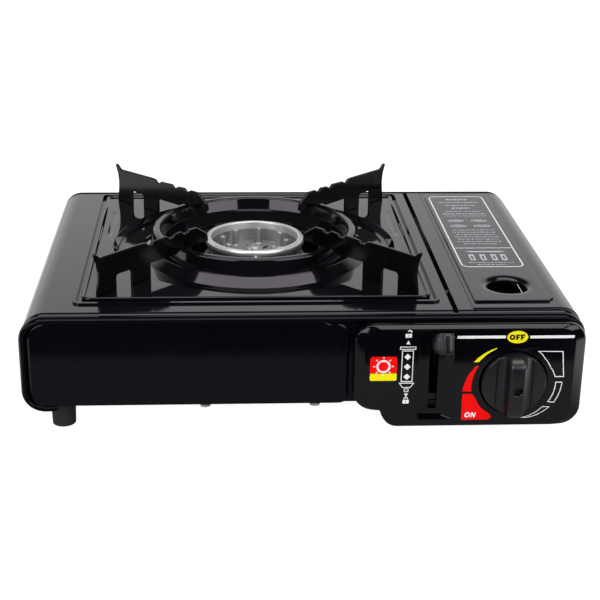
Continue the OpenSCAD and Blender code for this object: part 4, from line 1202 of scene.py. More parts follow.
@dataclass
class Burner:
    """Aluminium burner: a turned top ring over flame ports, and a floor with studs."""

    cup: float = 12.8
    lip: float = 3.9
    lip_tall: float = 3.8
    lip_inner_tall: float = 5.2
    lip_steps: int = 160
    step: float = 2.0
    ports: int = 36
    port_steps: int = 8
    port_middle: int = 4
    port_levels: tuple[int, ...] = (2, 3)
    port_foot: float = 5.2
    port_heads: Point = (8.4, 5.0, 3.6)
    wall_outer: float = 1.6
    wall_inner: float = 4.0
    port_depth: float = 3.0
    floor_gap: float = 4.2
    floor_sheet: float = 1.5
    floor_soft: float = 0.3
    studs: int = 8
    stud_radius: float = 2.35
    stud_tall: float = 11.0
    stud_circle: float = 22.0
    stud_turn: float = 9.4
    stud_steps: int = 20
    slot: Rect = (10.0, -1.3, 19.0, 1.3)
    slot_corner: float = 1.2
    boss_steps: int = 40
    boss: tuple[Point, ...] = (
        (6.4, -0.2, 0.0), (6.0, 0.5, 0.6), (6.0, 4.0, 0.8), (4.7, 4.2, 0.5), (3.5, 5.6, 0.7),
        (0.05, 5.7, 0.0),
    )

    def build(self) -> None:
        """Makes the burner's pieces."""
        low, high = span("burner_ring")
        self.centre = ((low.x + high.x) / 2, (low.y + high.y) / 2)
        self.radius = high.x - self.centre[0]
        self.top = high.z
        self.floor = self.top - self.cup
        self._lip()
        self._wall()
        self._floor()
        eased(
            Body.CASE,
            ("burner_chamber", "burner_casting", CASTING, 0.4),
            ("burner_bracket", "burner_strap", ZINC, 0.3),
            ("mixing_tube", "venturi_tube", ZINC, 0.2),
            ("gas_jet", "jet_nozzle", BRASS, 0.2),
        )

    def _lip(self) -> None:
        """The rounded lip of the top ring."""
        r, top = self.radius, self.top
        outer, inner = top - self.lip_tall, top - self.lip_inner_tall
        profile = [
            (r, outer, 0.5), (r, top, 2.0), (r - self.lip, top, 0.8),
            (r - self.lip - 0.35, inner, 0.3), (r - self.step, inner, 0.2),
            (r - self.step, outer, 0.2),
        ]
        lip = Shell()
        lip.lathe(fillet(profile, 5), self.centre, self.lip_steps)
        lip.piece("burner_lip", TURNED_ALLOY, Body.CASE, sharp=TURNED_SHARP)

    def _wall(self) -> None:
        """The wall under the lip, with narrow flame ports."""
        base = self.floor - self.floor_sheet
        heights = [base, base + self.port_foot] + [self.top - down for down in self.port_heads]
        cx, cy = self.centre
        wall = Shell()
        sides = []
        for inner in (False, True):
            rows = []
            for level, z in enumerate(heights):
                row = []
                for k in range(self.ports * self.port_steps):
                    a = 2 * math.pi * k / (self.ports * self.port_steps)
                    port = k % self.port_steps == self.port_middle and level in self.port_levels
                    gap = self.port_depth if port else self.wall_outer
                    radius = self.radius - (self.wall_inner if inner else gap)
                    row.append((cx + radius * math.cos(a), cy + radius * math.sin(a), z))
                rows.append(row)
            sides.append(wall.loft(rows))
        for end in (0, -1):
            wall.skin(sides[0][end], sides[1][end])
        wall.piece("burner_ports", BURNER_ALLOY, Body.CASE, "burner_ring", sharp=PORT_SHARP)

    def _floor(self) -> None:
        """The floor with its slots, studs and middle boss."""
        cx, cy = self.centre
        floor = Shell()
        step = 360 / self.studs
        slot = round_rect(self.slot[:2], self.slot[2:], self.slot_corner, 4)
        turns = [90 - self.stud_turn - step * k for k in range(self.studs)]
        slots = [turned(slot, turn - step / 2, self.centre) for turn in turns]
        outline = circle(self.centre, self.radius - self.floor_gap, WIDE_STEPS)
        place: Place = lambda x, y, d: (x, y, self.floor - d)
        floor.plate(outline, slots, self.floor_sheet, self.floor_soft, place)
        r, tall = self.stud_radius, self.stud_tall
        stud = (
            (r + 0.9, -0.2, 0.0), (r, 0.6, 0.8), (r - 0.25, tall, 0.5), (1.25, tall, 0.3),
            (1.0, tall - 0.8, 0.3), (0.05, tall - 1.0, 0.0),
        )
        for turn in turns:
            a = math.radians(turn)
            spot = (cx + self.stud_circle * math.cos(a), cy + self.stud_circle * math.sin(a))
            floor.lathe(self._raised(stud, 3), spot, self.stud_steps, closed=False)
        floor.lathe(self._raised(self.boss, 4), self.centre, self.boss_steps, closed=False)
        floor.piece("burner_cup_floor", BURNER_ALLOY, Body.CASE, "burner_floor", sharp=TURNED_SHARP)

    def _raised(self, corners: Sequence[Point], steps: int) -> Loop:
        """Rounded profile of radii and of heights over the floor."""
        return [(r, self.floor + z) for r, z in fillet(corners, steps, closed=False)]


# ---------- lid ----------


@dataclass
class Lid:
    """The lid over the canister, and its printed table."""

    edge: float = 0.4
    film: float = 0.12
    film_lift: float = 0.06
    table: Rect = (107.6, -40.0, 149.4, 116.2)
    table_corner: float = 5.0
    divide: float = -2.5
    line: float = 1.0
    field: Rect = (105.3, -99.2, 152.9, 118.4)
    field_corner: float = 1.6
    field_rise: float = 0.35
    field_soft: float = 0.6
    field_depth: float = 1.5
    sight: Flat = (130.7, -72.5)
    dish: tuple[Flat, ...] = (
        (18.4, 0.0), (17.4, 0.04), (16.4, 0.13), (15.5, 0.26), (14.9, 0.42), (14.3, 0.68),
        (13.7, 1.05), (13.2, 1.4), (12.8, 1.75), (12.6, 2.2), (12.58, 3.3), (13.3, 3.3),
        (14.2, 2.4), (15.4, 1.6), (18.4, 1.5),
    )
    rules: tuple[Point, ...] = (
        (108.0, 8.0, 2.4), (101.0, 15.0, 1.3), (93.5, 11.0, 1.3), (87.0, 7.0, 2.2),
        (79.0, 13.0, 0.9), (73.0, 16.0, 1.2), (68.0, 15.0, 0.9), (36.0, 15.0, 0.9),
        (31.0, 15.5, 0.9), (26.0, 14.0, 0.9), (21.0, 15.5, 0.9), (16.0, 14.5, 0.9),
        (11.0, 15.5, 0.9), (6.0, 12.0, 0.9), (-31.5, 15.0, 0.9), (-35.5, 10.0, 0.9),
    )
    bars: tuple[float, ...] = (2.6, 1.5, 3.4, 2.0, 1.1)
    bar_gap: float = 0.7
    divide_line: Flat = (0.7, 0.4)
    ovals: tuple[Flat, ...] = ((-9.0, 57.0), (-9.0, 45.0), (8.0, 57.0), (8.0, 45.0))
    oval_rings: tuple[Flat, Flat] = ((6.0, 0.42), (5.1, 0.34))
    oval_bar: Flat = (3.2, 0.45)
    shelf: tuple[Flat, ...] = ((-14.0, -9.0), (14.0, -9.0), (10.0, -11.0), (-10.0, -11.0))
    marks: tuple[float, ...] = (-11.0, -3.5, 4.0, 10.5)
    mark_outer: Rect = (1.8, -27.0, -15.5, 0.6)
    mark_inner: Rect = (0.8, -25.0, -18.0, 0.3)

    def build(self) -> None:
        """Makes the lid's pieces."""
        eased(Body.LID, ("canister_lid", "lid_pressing", TOP_ENAMEL, self.edge))
        eased(Body.CASE, ("lid_hinge_rod", "hinge_rod", BLACKENED_STEEL_AND_PAINTED_SHADE, 0.2))
        self.top = span("canister_lid")[1].z + self.field_rise
        self._field()
        self._table_frame()
        self._table_marks()

    def _field(self) -> None:
        """The raised field, with a soft dish round the sight hole."""
        outline = round_rect(self.field[:2], self.field[2:], self.field_corner, 6)
        edge = soft_edge(self.field_soft, 4) + [(0.0, self.field_depth)]
        rows = [(inset(outline, step), depth) for step, depth in edge]
        dish = [(circle(self.sight, radius, WIDE_STEPS), depth) for radius, depth in self.dish]
        field = Shell()
        rings, hole = (field.stack(side, self._sunk) for side in (rows, dish))
        for end in (0, -1):
            field.cap([rows[end][0], dish[end][0]], [rings[end], hole[end]])
        field.piece("lid_raised_field", TOP_ENAMEL, Body.LID, sharp=SOFT_SHARP)

    def _sunk(self, x: float, y: float, depth: float) -> Point:
        """Point at a depth under the raised field."""
        return x, y, self.top - depth

    def _lay(self, ink: Shell, outline: Loop, *holes: Loop) -> None:
        """Adds one printed shape on the raised field."""
        place: Place = lambda x, y, d: self._sunk(x, y, d - self.film_lift)
        ink.plate(outline, holes, self.film, PRINT_EDGE, place, steps=1)

    def _table_frame(self) -> None:
        """The table's frame and the line that divides it."""
        x0, _, x1, _ = self.table
        outer = round_rect(self.table[:2], self.table[2:], self.table_corner, 6)
        inside, half = self.divide_line
        low, high = (x0 + inside, self.divide - half), (x1 - inside, self.divide + half)
        ink = Shell()
        self._lay(ink, outer, inset(outer, self.line))
        self._lay(ink, round_rect(low, high, 0.1, 1))
        ink.piece("lid_table_frame", LABEL_INK, Body.LID, sharp=PRINT_SHARP)

    def _table_marks(self) -> None:
        """Broken rules, four ovals and four plain marks in the table."""
        middle = (self.table[0] + self.table[2]) / 2
        ink = Shell()
        for y, half, thick in self.rules:
            self._rule(ink, middle - half, middle + half, y, thick)
        half, thick = self.oval_bar
        for shift, y in self.ovals:
            x = middle + shift
            rings = (circle((x, y), r, PRINT_STEPS, squash) for r, squash in self.oval_rings)
            self._lay(ink, *rings)
            self._lay(ink, round_rect((x - half, y - thick), (x + half, y + thick), 0.2, 1))
        self._lay(ink, [(middle + x, y) for x, y in self.shelf])
        for x in (middle + shift for shift in self.marks):
            outer, inner = (
                round_rect((x - half, y0), (x + half, y1), bend, 3)
                for half, y0, y1, bend in (self.mark_outer, self.mark_inner)
            )
            self._lay(ink, outer, inner)
        ink.piece("lid_table_rules", FAINT_INK, Body.LID, sharp=PRINT_SHARP)

    def _rule(self, ink: Shell, start: float, stop: float, y: float, thick: float) -> None:
        """Adds a broken rule: a run of short bars of uneven length.

        Args:
            ink: The shell that takes it.
            start: Its left end.
            stop: Its right end.
            y: Its middle line.
            thick: Its thickness.
        """
        x, count = start, 0
        while x < stop:
            end = min(x + self.bars[count % len(self.bars)], stop)
            self._lay(ink, rect(x, y - thick / 2, end, y + thick / 2))
            x = end + self.bar_gap
            count += 1


# ---------- control panel ----------


@dataclass
class Panel:
    """The moulded control panel with the lever's recess and the knob's dish."""

    back: float = -115.0
    corner: float = 12.0
    corner_steps: int = 8
    tray_edge: float = 46.0
    flank: float = 11.2
    left_bevel: float = 7.0
    right_bevel: float = 7.5
    face_notch: float = 1.2
    face_rise: Flat = (0.6, 0.8)
    face_drop: float = 2.4
    face_corner: float = 9.0
    rows: tuple[Flat, ...] = (
        (0.0, 0.0), (0.0, 0.4), (0.02, 0.58), (0.06, 0.70), (0.12, 0.77), (0.2, 0.81),
        (0.55, 0.9), (0.88, 0.98), (0.94, 0.993), (1.0, 1.0),
    )
    dish_gap: float = 1.0
    dish_rows: tuple[Flat, ...] = ((0.5, 0.0), (0.15, 0.2), (0.0, 0.6), (-0.9, 1.5))
    shaft: float = 4.0
    shaft_steps: int = 24
    recess: Rect = (68.8, 15.7, 89.9, 74.3)
    recess_depth: float = 4.2
    recess_slope: float = 5.2
    mouth_corner: float = 1.2
    mouth_rows: tuple[Flat, ...] = ((-0.5, 0.0), (-0.15, 0.15))
    mouth_depth: float = 0.5
    well_corner: float = 1.0
    well_inside: float = 0.4
    slot: Rect = (75.55, 21.0, 81.05, 73.0)
    slot_corner: float = 0.8

    def build(self) -> None:
        """Makes the panel."""
        low, high = span("control_panel")
        knob_low, knob_high = span("control_knob")
        self.front = low.y
        knob = ((knob_low.x + knob_high.x) / 2, (knob_low.z + knob_high.z) / 2)
        dish = (knob_high.x - knob_low.x) / 2 + self.dish_gap
        shell = Shell()
        outer, inner = self._outlines(low, high)
        wall = shell.loft([
            [self._blend(first, second, step, rise) for first, second in zip(outer, inner)]
            for step, rise in self.rows
        ])
        recess = self._recess_rows()
        bowl = [(circle(knob, dish + out, WIDE_STEPS), depth) for out, depth in self.dish_rows]
        through = self.back - self.front
        slot = wound(round_rect(self.slot[:2], self.slot[2:], self.slot_corner, 3))
        shaft = circle(knob, self.shaft, self.shaft_steps)
        recess_rings, bowl_rings = shell.stack(recess, self._face), shell.stack(bowl, self._face)
        shell.cap(
            [inner, recess[0][0], bowl[0][0]], [wall[-1], recess_rings[0], bowl_rings[0]]
        )
        ends = []
        for hole, rows, rings in ((slot, recess, recess_rings), (shaft, bowl, bowl_rings)):
            bore = shell.stack([(hole, rows[-1][1]), (hole, through)], self._face)
            shell.cap([rows[-1][0], hole], [rings[-1], bore[0]])
            ends.append(bore[-1])
        shell.cap([outer, slot, shaft], [wall[0], *ends])
        shell.piece("panel_moulding", PANEL_PLASTIC, Body.CASE, "control_panel", sharp=PANEL_SHARP)

    def _face(self, x: float, z: float, depth: float) -> Point:
        """Point at a depth behind the panel's face."""
        return x, self.front + depth, z

    def _blend(self, first: Flat, second: Flat, step: float, rise: float) -> Point:
        """Point of the wall: step of the way to the face's edge, and rise of the way forward."""
        (ax, az), (bx, bz) = first, second
        y = self.back - (self.back - self.front) * rise
        return ax + (bx - ax) * step, y, az + (bz - az) * step

    def _outlines(self, low: Vector, high: Vector) -> tuple[Loop, Loop]:
        """The panel's outlines.

        Args:
            low: Lowest corner of the panel.
            high: Its highest corner.

        Returns:
            The outline at the back, and the face's, point by point.
        """
        left, right, bottom, top = low.x, high.x, low.z, high.z
        upper, bend = bottom + self.flank, self.corner
        wall = (
            (left, upper, bend), (self.tray_edge, upper, 1.5), (self.tray_edge, bottom, bend),
            (right, bottom, bend), (right, top, bend), (left, top, bend),
        )
        near, far = left + self.left_bevel, right - self.right_bevel
        notch, soft = self.tray_edge + self.face_notch, self.face_corner
        step, low_edge = upper + self.face_rise[0], bottom + self.face_rise[1]
        high_edge = top - self.face_drop
        face = (
            (near, step, soft), (notch, step, 2.0), (notch, low_edge, 9.5),
            (far, low_edge, bend), (far, high_edge, soft), (near, high_edge, soft),
        )
        return wound(fillet(wall, self.corner_steps)), wound(fillet(face, self.corner_steps))

    def _recess_rows(self) -> list[tuple[Loop, float]]:
        """The lever's recess.

        Returns:
            Its loops with their depths, from its mouth to its floor.
        """
        x0, z0, x1, z1 = self.recess
        inside = self.well_inside
        low, high = (x0 + inside, z0 + inside), (x1 - self.recess_slope, z1 - inside)
        mouth = wound(round_rect((x0, z0), (x1, z1), self.mouth_corner, 4))
        well = wound(round_rect(low, high, self.well_corner, 4))
        rows = [(inset(mouth, step), depth) for step, depth in self.mouth_rows]
        return rows + [(mouth, self.mouth_depth), (well, self.recess_depth)]


@dataclass
class Print:
    """Ink on the panel: the dial's marks, the lever's sign and a badge."""

    film: float = 0.12
    line: float = 0.55
    thin: float = 0.45
    sign_line: float = 0.5
    dial: Flat = (129.45, 38.97)
    arc_steps: int = 14
    rules: tuple[Rect, ...] = ((90.9, 69.5, 120.3, 71.3), (135.2, 69.3, 162.4, 71.1))
    wide_mark: tuple[Flat, ...] = (
        (140.6, 60.9), (156.4, 60.7), (158.2, 43.4), (152.5, 43.4), (151.3, 46.6),
        (149.3, 49.9), (147.3, 53.3), (145.2, 56.2), (143.2, 58.7),
    )
    middle_mark: tuple[Rect, Rect] = ((28.1, 2.4, 27.2, -28.5), (23.7, 3.1, 23.3, -32.0))
    narrow_mark: tuple[Rect, Rect] = ((26.6, -35.8, 24.4, -71.0), (22.8, -41.9, 23.1, -82.6))
    red_mark: tuple[Rect, Rect] = ((28.6, 154.2, 33.8, 187.6), (27.3, 153.4, 28.3, 190.0))
    yellow_mark: tuple[Rect, Rect] = ((31.3, 151.6, 27.9, 119.6), (28.6, 148.2, 27.5, 121.0))
    red_field: tuple[Flat, ...] = (
        (96.3, 16.0), (96.2, 32.2), (96.6, 32.6), (101.9, 32.6), (103.2, 31.4), (104.7, 29.0),
        (106.2, 25.9), (108.1, 23.2), (110.4, 21.2), (113.1, 19.4), (114.6, 17.9), (114.9, 17.0),
        (114.4, 15.9), (113.0, 15.2), (111.5, 15.0), (97.2, 15.0), (96.6, 15.3),
    )
    badge: Flat = (46.9, 51.6)
    badge_sides: Flat = (38.8, 55.2)
    badge_ground: tuple[Flat, Flat] = ((47.2, 0.3), (58.0, 1.6))
    badge_band: tuple[Flat, Flat] = ((42.1, 1.2), (46.9, 0.3))
    sun: Flat = (4.3, 3.1)
    ray: Rect = (5.0, -0.35, 6.3, 0.35)
    rays: int = 8
    sign: float = 61.4
    can: Rect = (57.8, 41.2, 65.0, 62.0)
    can_foot: Rect = (56.5, 62.6, 66.3, 64.6)
    can_neck: tuple[Flat, ...] = ((56.6, 40.6), (66.2, 40.6), (63.9, 37.2), (58.9, 37.2))
    can_nozzle: Rect = (60.0, 34.4, 62.8, 36.7)
    can_marks: Point = (44.6, 51.2, 57.8)
    arrows: tuple[Flat, Flat] = ((66.2, 68.6), (33.4, 31.0))
    can_mark_half: float = 1.5
    arrow_half: float = 1.2
    lock_half: float = 1.9
    lock_tall: float = 2.5
    open_lock: float = 70.4
    closed_lock: float = 26.6
    keyhole: Flat = (1.25, 0.45)
    bow: Point = (3.0, 1.45, 0.85)
    bow_hinge: Flat = (1.2, 2.6)
    bow_open: Point = (-24.0, 1.5, 2.7)
    on_corner: Flat = (97.9, 16.7)
    on_slant: float = 0.22
    on_ring: Rect = (1.75, 1.7, 1.75, 0.9)
    letter_n: tuple[Flat, ...] = (
        (3.9, 0.0), (4.7, 0.0), (4.7, 2.0), (5.9, 0.0), (6.7, 0.0), (6.7, 3.4), (5.9, 3.4),
        (5.9, 1.4), (4.7, 3.4), (3.9, 3.4),
    )
    off_corner: Flat = (123.2, 68.85)
    off_ring: Rect = (1.2, 1.4, 1.8, 0.7)
    off_letters: Flat = (3.4, 6.3)
    letter_f: tuple[Flat, ...] = (
        (0.0, -0.4), (1.15, -0.4), (1.15, 0.85), (2.2, 0.85), (2.2, 1.7), (1.15, 1.7),
        (1.15, 2.2), (2.6, 2.2), (2.6, 3.15), (0.0, 3.15),
    )
    off_oval: Flat = (127.6, 70.2)
    off_size: Flat = (6.4, 0.63)

    def build(self) -> None:
        """Makes the prints."""
        self.level = span("control_panel")[0].y - self.film
        for draw, name, finish in (
            (self._white, "print_white", WHITE_INK),
            (self._red, "print_red", RED_INK),
            (self._yellow, "print_yellow", YELLOW_INK),
            (self._off, "print_dark", DARK_INK),
        ):
            ink = Shell()
            draw(ink)
            ink.piece(name, finish, Body.CASE, sharp=PRINT_SHARP)

    def _lay(self, ink: Shell, outline: Loop, *holes: Loop, lift: float = 0.0) -> None:
        """Adds one printed shape, lifted by some films."""
        place: Place = lambda x, z, d: (x, self.level - lift * self.film + d, z)
        ink.plate(outline, holes, self.film, PRINT_EDGE, place, steps=1)

    def _frame(self, ink: Shell, outline: Loop, width: float) -> None:
        """Adds one printed outline."""
        loop = wound(outline)
        self._lay(ink, loop, inset(loop, width))

    def _blade(self, arcs: tuple[Rect, Rect]) -> Loop:
        """Shape between two arcs of the dial.

        Args:
            arcs: For each arc, radius and angle where it starts, then those where it ends.

        Returns:
            The outline.
        """
        sides = []
        for first, start, last, end in arcs:
            side = []
            for k in range(self.arc_steps + 1):
                radius = first + (last - first) * k / self.arc_steps
                a = math.radians(start + (end - start) * k / self.arc_steps)
                x, z = radius * math.cos(a), radius * math.sin(a)
                side.append((self.dial[0] + x, self.dial[1] + z))
            sides.append(side)
        return sides[0] + sides[1][::-1]

    def _white(self, ink: Shell) -> None:
        """Lines and outlines of the dial, the word ON, the lever's sign, and the badge's sun."""
        for x0, z0, x1, z1 in self.rules:
            self._lay(ink, round_rect((x0, z0), (x1, z1), 0.2, 2))
        self._frame(ink, list(self.wide_mark), self.line)
        self._frame(ink, self._blade(self.middle_mark), self.line)
        self._frame(ink, self._blade(self.narrow_mark), self.thin)
        self._on(ink)
        self._sign(ink)
        self._lay(ink, *(circle(self.badge, radius, 40) for radius in self.sun), lift=1.0)
        for k in range(self.rays):
            ray = turned(rect(*self.ray), 360 / self.rays * k, self.badge)
            self._lay(ink, ray, lift=1.0)

    def _on(self, ink: Shell) -> None:
        """The word ON, in slanted capitals."""
        x, z, *radii = self.on_ring
        letter_o = [circle((x, z), radius, PRINT_STEPS) for radius in radii]
        x0, z0 = self.on_corner
        for shape in (letter_o, [self.letter_n]):
            slanted = ([(x0 + x + self.on_slant * z, z0 + z) for x, z in loop] for loop in shape)
            self._lay(ink, *slanted, lift=1.0)

    def _sign(self, ink: Shell) -> None:
        """Outline of a canister with its nozzle down, arrows, and an open and a closed lock."""
        x = self.sign
        self._frame(ink, rect(*self.can), self.sign_line)
        self._frame(ink, rect(*self.can_foot), self.thin)
        self._frame(ink, list(self.can_neck), self.sign_line)
        self._frame(ink, rect(*self.can_nozzle), self.thin)
        half = self.can_mark_half
        for z in self.can_marks:
            self._lay(ink, turned(round_rect((-half, -half), (half, half), 0.3, 2), 45, (x, z)))
        half = self.arrow_half
        for foot, tip in self.arrows:
            self._lay(ink, [(x - half, foot), (x + half, foot), (x, tip)])
        for z in (self.open_lock, self.closed_lock):
            self._lock(ink, x, z)

    def _lock(self, ink: Shell, x: float, z: float) -> None:
        """Adds a padlock at a place, with its bow swung up where it is the open one."""
        low, high = (x - self.lock_half, z), (x + self.lock_half, z + self.lock_tall)
        rise, radius = self.keyhole
        self._lay(ink, round_rect(low, high, 0.3, 2), circle((x, z + rise), radius, 12))
        rise, outer, inner = self.bow
        bow = arc((x, z + rise), outer, 0, 180, 12) + arc((x, z + rise), inner, 180, 0, 12)
        if z == self.open_lock:
            along, up = self.bow_hinge
            angle, to_x, to_z = self.bow_open
            bow = [(a - x - along, b - z - up) for a, b in bow]
            bow = turned(bow, angle, (x + to_x, z + to_z))
        self._lay(ink, bow)

    def _red(self, ink: Shell) -> None:
        """The dial's red segment and field, and the badge's ground."""
        self._lay(ink, self._blade(self.red_mark))
        self._lay(ink, list(self.red_field))
        self._badge_part(ink, *self.badge_ground)

    def _yellow(self, ink: Shell) -> None:
        """The dial's yellow blade, the badge's band, and the oval under the word OFF."""
        self._lay(ink, self._blade(self.yellow_mark))
        self._badge_part(ink, *self.badge_band)
        radius, squash = self.off_size
        self._lay(ink, circle(self.off_oval, radius, 2 * PRINT_STEPS, squash), lift=0.5)

    def _badge_part(self, ink: Shell, low: Flat, high: Flat) -> None:
        """Adds a part of the badge between two levels, each with its corners' radius."""
        x0, x1 = self.badge_sides
        corners = [(x0, *low), (x1, *low), (x1, *high), (x0, *high)]
        self._lay(ink, fillet(corners, 5))

    def _off(self, ink: Shell) -> None:
        """The word OFF."""
        x, z = self.off_corner
        along, up, *radii = self.off_ring
        rings = (circle((x + along, z + up), radius, PRINT_STEPS) for radius in radii)
        self._lay(ink, *rings, lift=1.5)
        for start in self.off_letters:
            self._lay(ink, [(x + start + a, z + b) for a, b in self.letter_f], lift=1.5)


@dataclass
class Knob:
    """The gas knob: a disc with a grip across it and a scoop at each side."""

    grip: float = 5.25
    scoop: float = 5.25
    side: float = 2.5
    soft_side: float = 2.6
    soft_end: float = 7.0
    end_steps: int = 6
    top_steps: int = 10
    ridge: tuple[Flat, ...] = ((0.25, 0.2), (0.6, 0.5), (1.1, 0.62))
    fall: float = 0.1
    fall_steps: int = 5
    foot_gap: float = 0.1
    rim_drop: float = 0.88
    edge_drop: float = 1.2
    edge_inside: float = 0.004
    soften: Flat = (0.5, 2.0)
    rim: float = 1.0
    skirt: float = 0.7
    bore: float = 2.9
    bore_mouth: float = 0.35
    bore_depth: float = 9.0
    bore_steps: int = 32

    def build(self) -> None:
        """Makes the knob and dresses what turns with it."""
        low, high = span("control_knob")
        self.centre = ((low.x + high.x) / 2, (low.z + high.z) / 2)
        self.radius = (high.x - low.x) / 2
        self.front = low.y
        self.base = span("control_panel")[0].y
        self.tall = self.base - self.front
        shell = Shell()
        right, left = (
            [self._column(shell, side * x, h) for x, h in self._stations()] for side in (1, -1)
        )
        shell.fan(right)
        shell.fan(left)
        self._crown(shell, left[0], right[0])
        edge = [c[0] for c in left[::-1]] + [c[0] for c in right]
        edge += [c[-1] for c in right[::-1]] + [c[-1] for c in left]
        skirt = shell.ring([(x, self.base + self.skirt, z) for x, z in self._flat(shell, edge)])
        shell.skin(edge, skirt)
        shell.close(skirt)
        shell.piece("knob_moulding", KNOB_PLASTIC, Body.KNOB, "control_knob", sharp=KNOB_SHARP)
        eased(
            Body.KNOB,
            ("knob_screw", "knob_screw_head", BLACKENED_STEEL_AND_PAINTED_SHADE, 0.1),
            ("valve_spindle", "tap_spindle", BRASS, 0.2),
            ("igniter_cam", "snail_cam", NATURAL_PLASTIC, 0.3),
        )

    @staticmethod
    def _flat(shell: Shell, order: Sequence[int]) -> Loop:
        """The places of some of a shell's points, seen from the front."""
        return [(shell.points[i][0], shell.points[i][2]) for i in order]

    def _stations(self) -> Loop:
        """The knob's section across the grip.

        Returns:
            Distances from the knob's middle plane with the heights there.
        """
        soft, side, scoop = self.soft_side, self.side, self.scoop
        foot = self.grip + self.foot_gap
        start, count = foot + scoop, self.fall_steps
        edge = self.radius - self.rim
        crest, rise = start + self.ridge[-1][0], side + self.ridge[-1][1]
        out = [(self.grip - soft * (1 - s), self.tall - soft * (1 - c)) for s, c in quarter(7)]
        out.append((self.grip + self.foot_gap / 2, (self.tall + side + scoop) / 2))
        out += [(foot + scoop * (1 - s), side + scoop * (1 - c)) for s, c in quarter(9)[::-1]]
        out += [(start + along, side + up) for along, up in self.ridge]
        for k in range(1, count + 1):
            out.append((crest + (edge - crest) * k / count, rise - self.fall * k))
        out += [(edge + self.rim * s, side - self.rim_drop + c) for s, c in quarter(5)[1:5]]
        return out + [(self.radius - self.edge_inside, side - self.edge_drop)]

    def _column(self, shell: Shell, x: float, height: float) -> list[int]:
        """Adds a row of points up and over the knob.

        Args:
            shell: The shell that takes them.
            x: Their distance from the knob's middle plane.
            height: The knob's height there.

        Returns:
            Their indices.
        """
        half = math.sqrt(max(0.0004, self.radius ** 2 - x * x))
        gain = ease(height, self.side + self.soften[0], self.tall - self.soften[1])
        soft = self.rim + (self.soft_end - self.rim) * gain
        over = column(height, half, soft, self.end_steps, self.top_steps)
        cx, cz = self.centre
        return shell.ring([(cx + x, self.base - h, cz + z) for z, h in over])

    def _crown(self, shell: Shell, left: list[int], right: list[int]) -> None:
        """Closes the grip's front, with the screw's bore in it.

        Args:
            shell: The knob's shell.
            left: The column at the left of the grip's front.
            right: The column at its right.
        """
        ends = self.end_steps + 1
        stop = len(left) - ends
        for part in (slice(0, ends + 1), slice(stop - 1, len(left))):
            shell.skin(left[part], right[part], closed=False)
        order = right[ends:stop] + left[ends:stop][::-1]
        sides = (self.bore + self.bore_mouth, self.bore)
        mouth, wall = (circle(self.centre, radius, self.bore_steps) for radius in sides)
        rows = [(mouth, 0.0), (wall, self.bore_mouth), (wall, self.bore_depth)]
        rings = shell.stack(rows, lambda x, z, depth: (x, self.front + depth, z))
        shell.cap([self._flat(shell, order), mouth], [order, rings[0]])
        shell.close(rings[-1])


@dataclass
class LockLever:
    """The lock lever: a thumb cap with a lobe, a groove and a flat, on a steel arm."""

    pivot: Point = (78.3, -80.0, 49.0)
    swing: float = 21.0
    reach: float = 58.5
    depth: float = 13.0
    tall: float = 13.5
    soft: float = 2.6
    lobe_middle: float = 2.6
    lobe_half: float = 5.6
    end_steps: int = 5
    top_steps: int = 4
    stations: tuple[Flat, ...] = (
        (-2.95, 6.4), (-2.7, 4.8), (-2.2, 3.3), (-1.5, 2.1), (-0.6, 1.1), (0.3, 0.5),
        (1.1, 0.3), (1.9, 0.6), (2.6, 1.2), (3.2, 1.9), (3.8, 2.3), (4.4, 2.3), (5.0, 2.1),
        (5.8, 1.95), (7.0, 1.95), (8.2, 2.1), (9.2, 2.6), (9.8, 3.3), (10.15, 4.2), (10.28, 5.2),
    )

    def build(self) -> None:
        """Makes the cap and dresses the arm and what it works."""
        shell = Shell()
        columns = []
        for x, sunk in self.stations:
            off = min(1.0, max(0.0, (self.lobe_middle - x) / self.lobe_half))
            half = self.tall / 2 * math.sqrt(1 - off * off)
            tall = self.depth - sunk
            side = column(tall, half, self.soft, self.end_steps, self.top_steps)
            columns.append(shell.ring([self._lie(x, h, z) for z, h in side]))
        shell.fan(columns)
        foot = [c[0] for c in columns] + [c[-1] for c in columns[::-1]]
        shell.close(columns[0], columns[-1], foot)
        shell.piece("lever_thumb_cap", KNOB_PLASTIC, Body.LEVER, "lever_cap", sharp=CAP_SHARP)
        eased(Body.LEVER, ("lock_lever", "lever_arm", ZINC, 0.2))
        eased(
            Body.CASE,
            ("lever_pin", "pivot_pin", ZINC, 0.2),
            ("lever_bracket", "pivot_bracket", ZINC, 0.2),
        )
        # The pusher plate in the bay under the lid is darkened as painted shade.
        eased(Body.PUSHER, ("canister_pusher", "pusher_plate", BLACKENED_STEEL_AND_PAINTED_SHADE, 0.15))

    def _lie(self, x: float, height: float, z: float) -> Point:
        """Point of the cap.

        Args:
            x: Its distance sideways from the pivot.
            height: Its height over the arm's end.
            z: Its place along the cap.

        Returns:
            The point at rest.
        """
        a = math.radians(-self.swing)
        y = self.depth - self.reach - height
        return (
            self.pivot[0] + x,
            self.pivot[1] + y * math.cos(a) - z * math.sin(a),
            self.pivot[2] + y * math.sin(a) + z * math.cos(a),
        )


# ---------- inner works and feet ----------


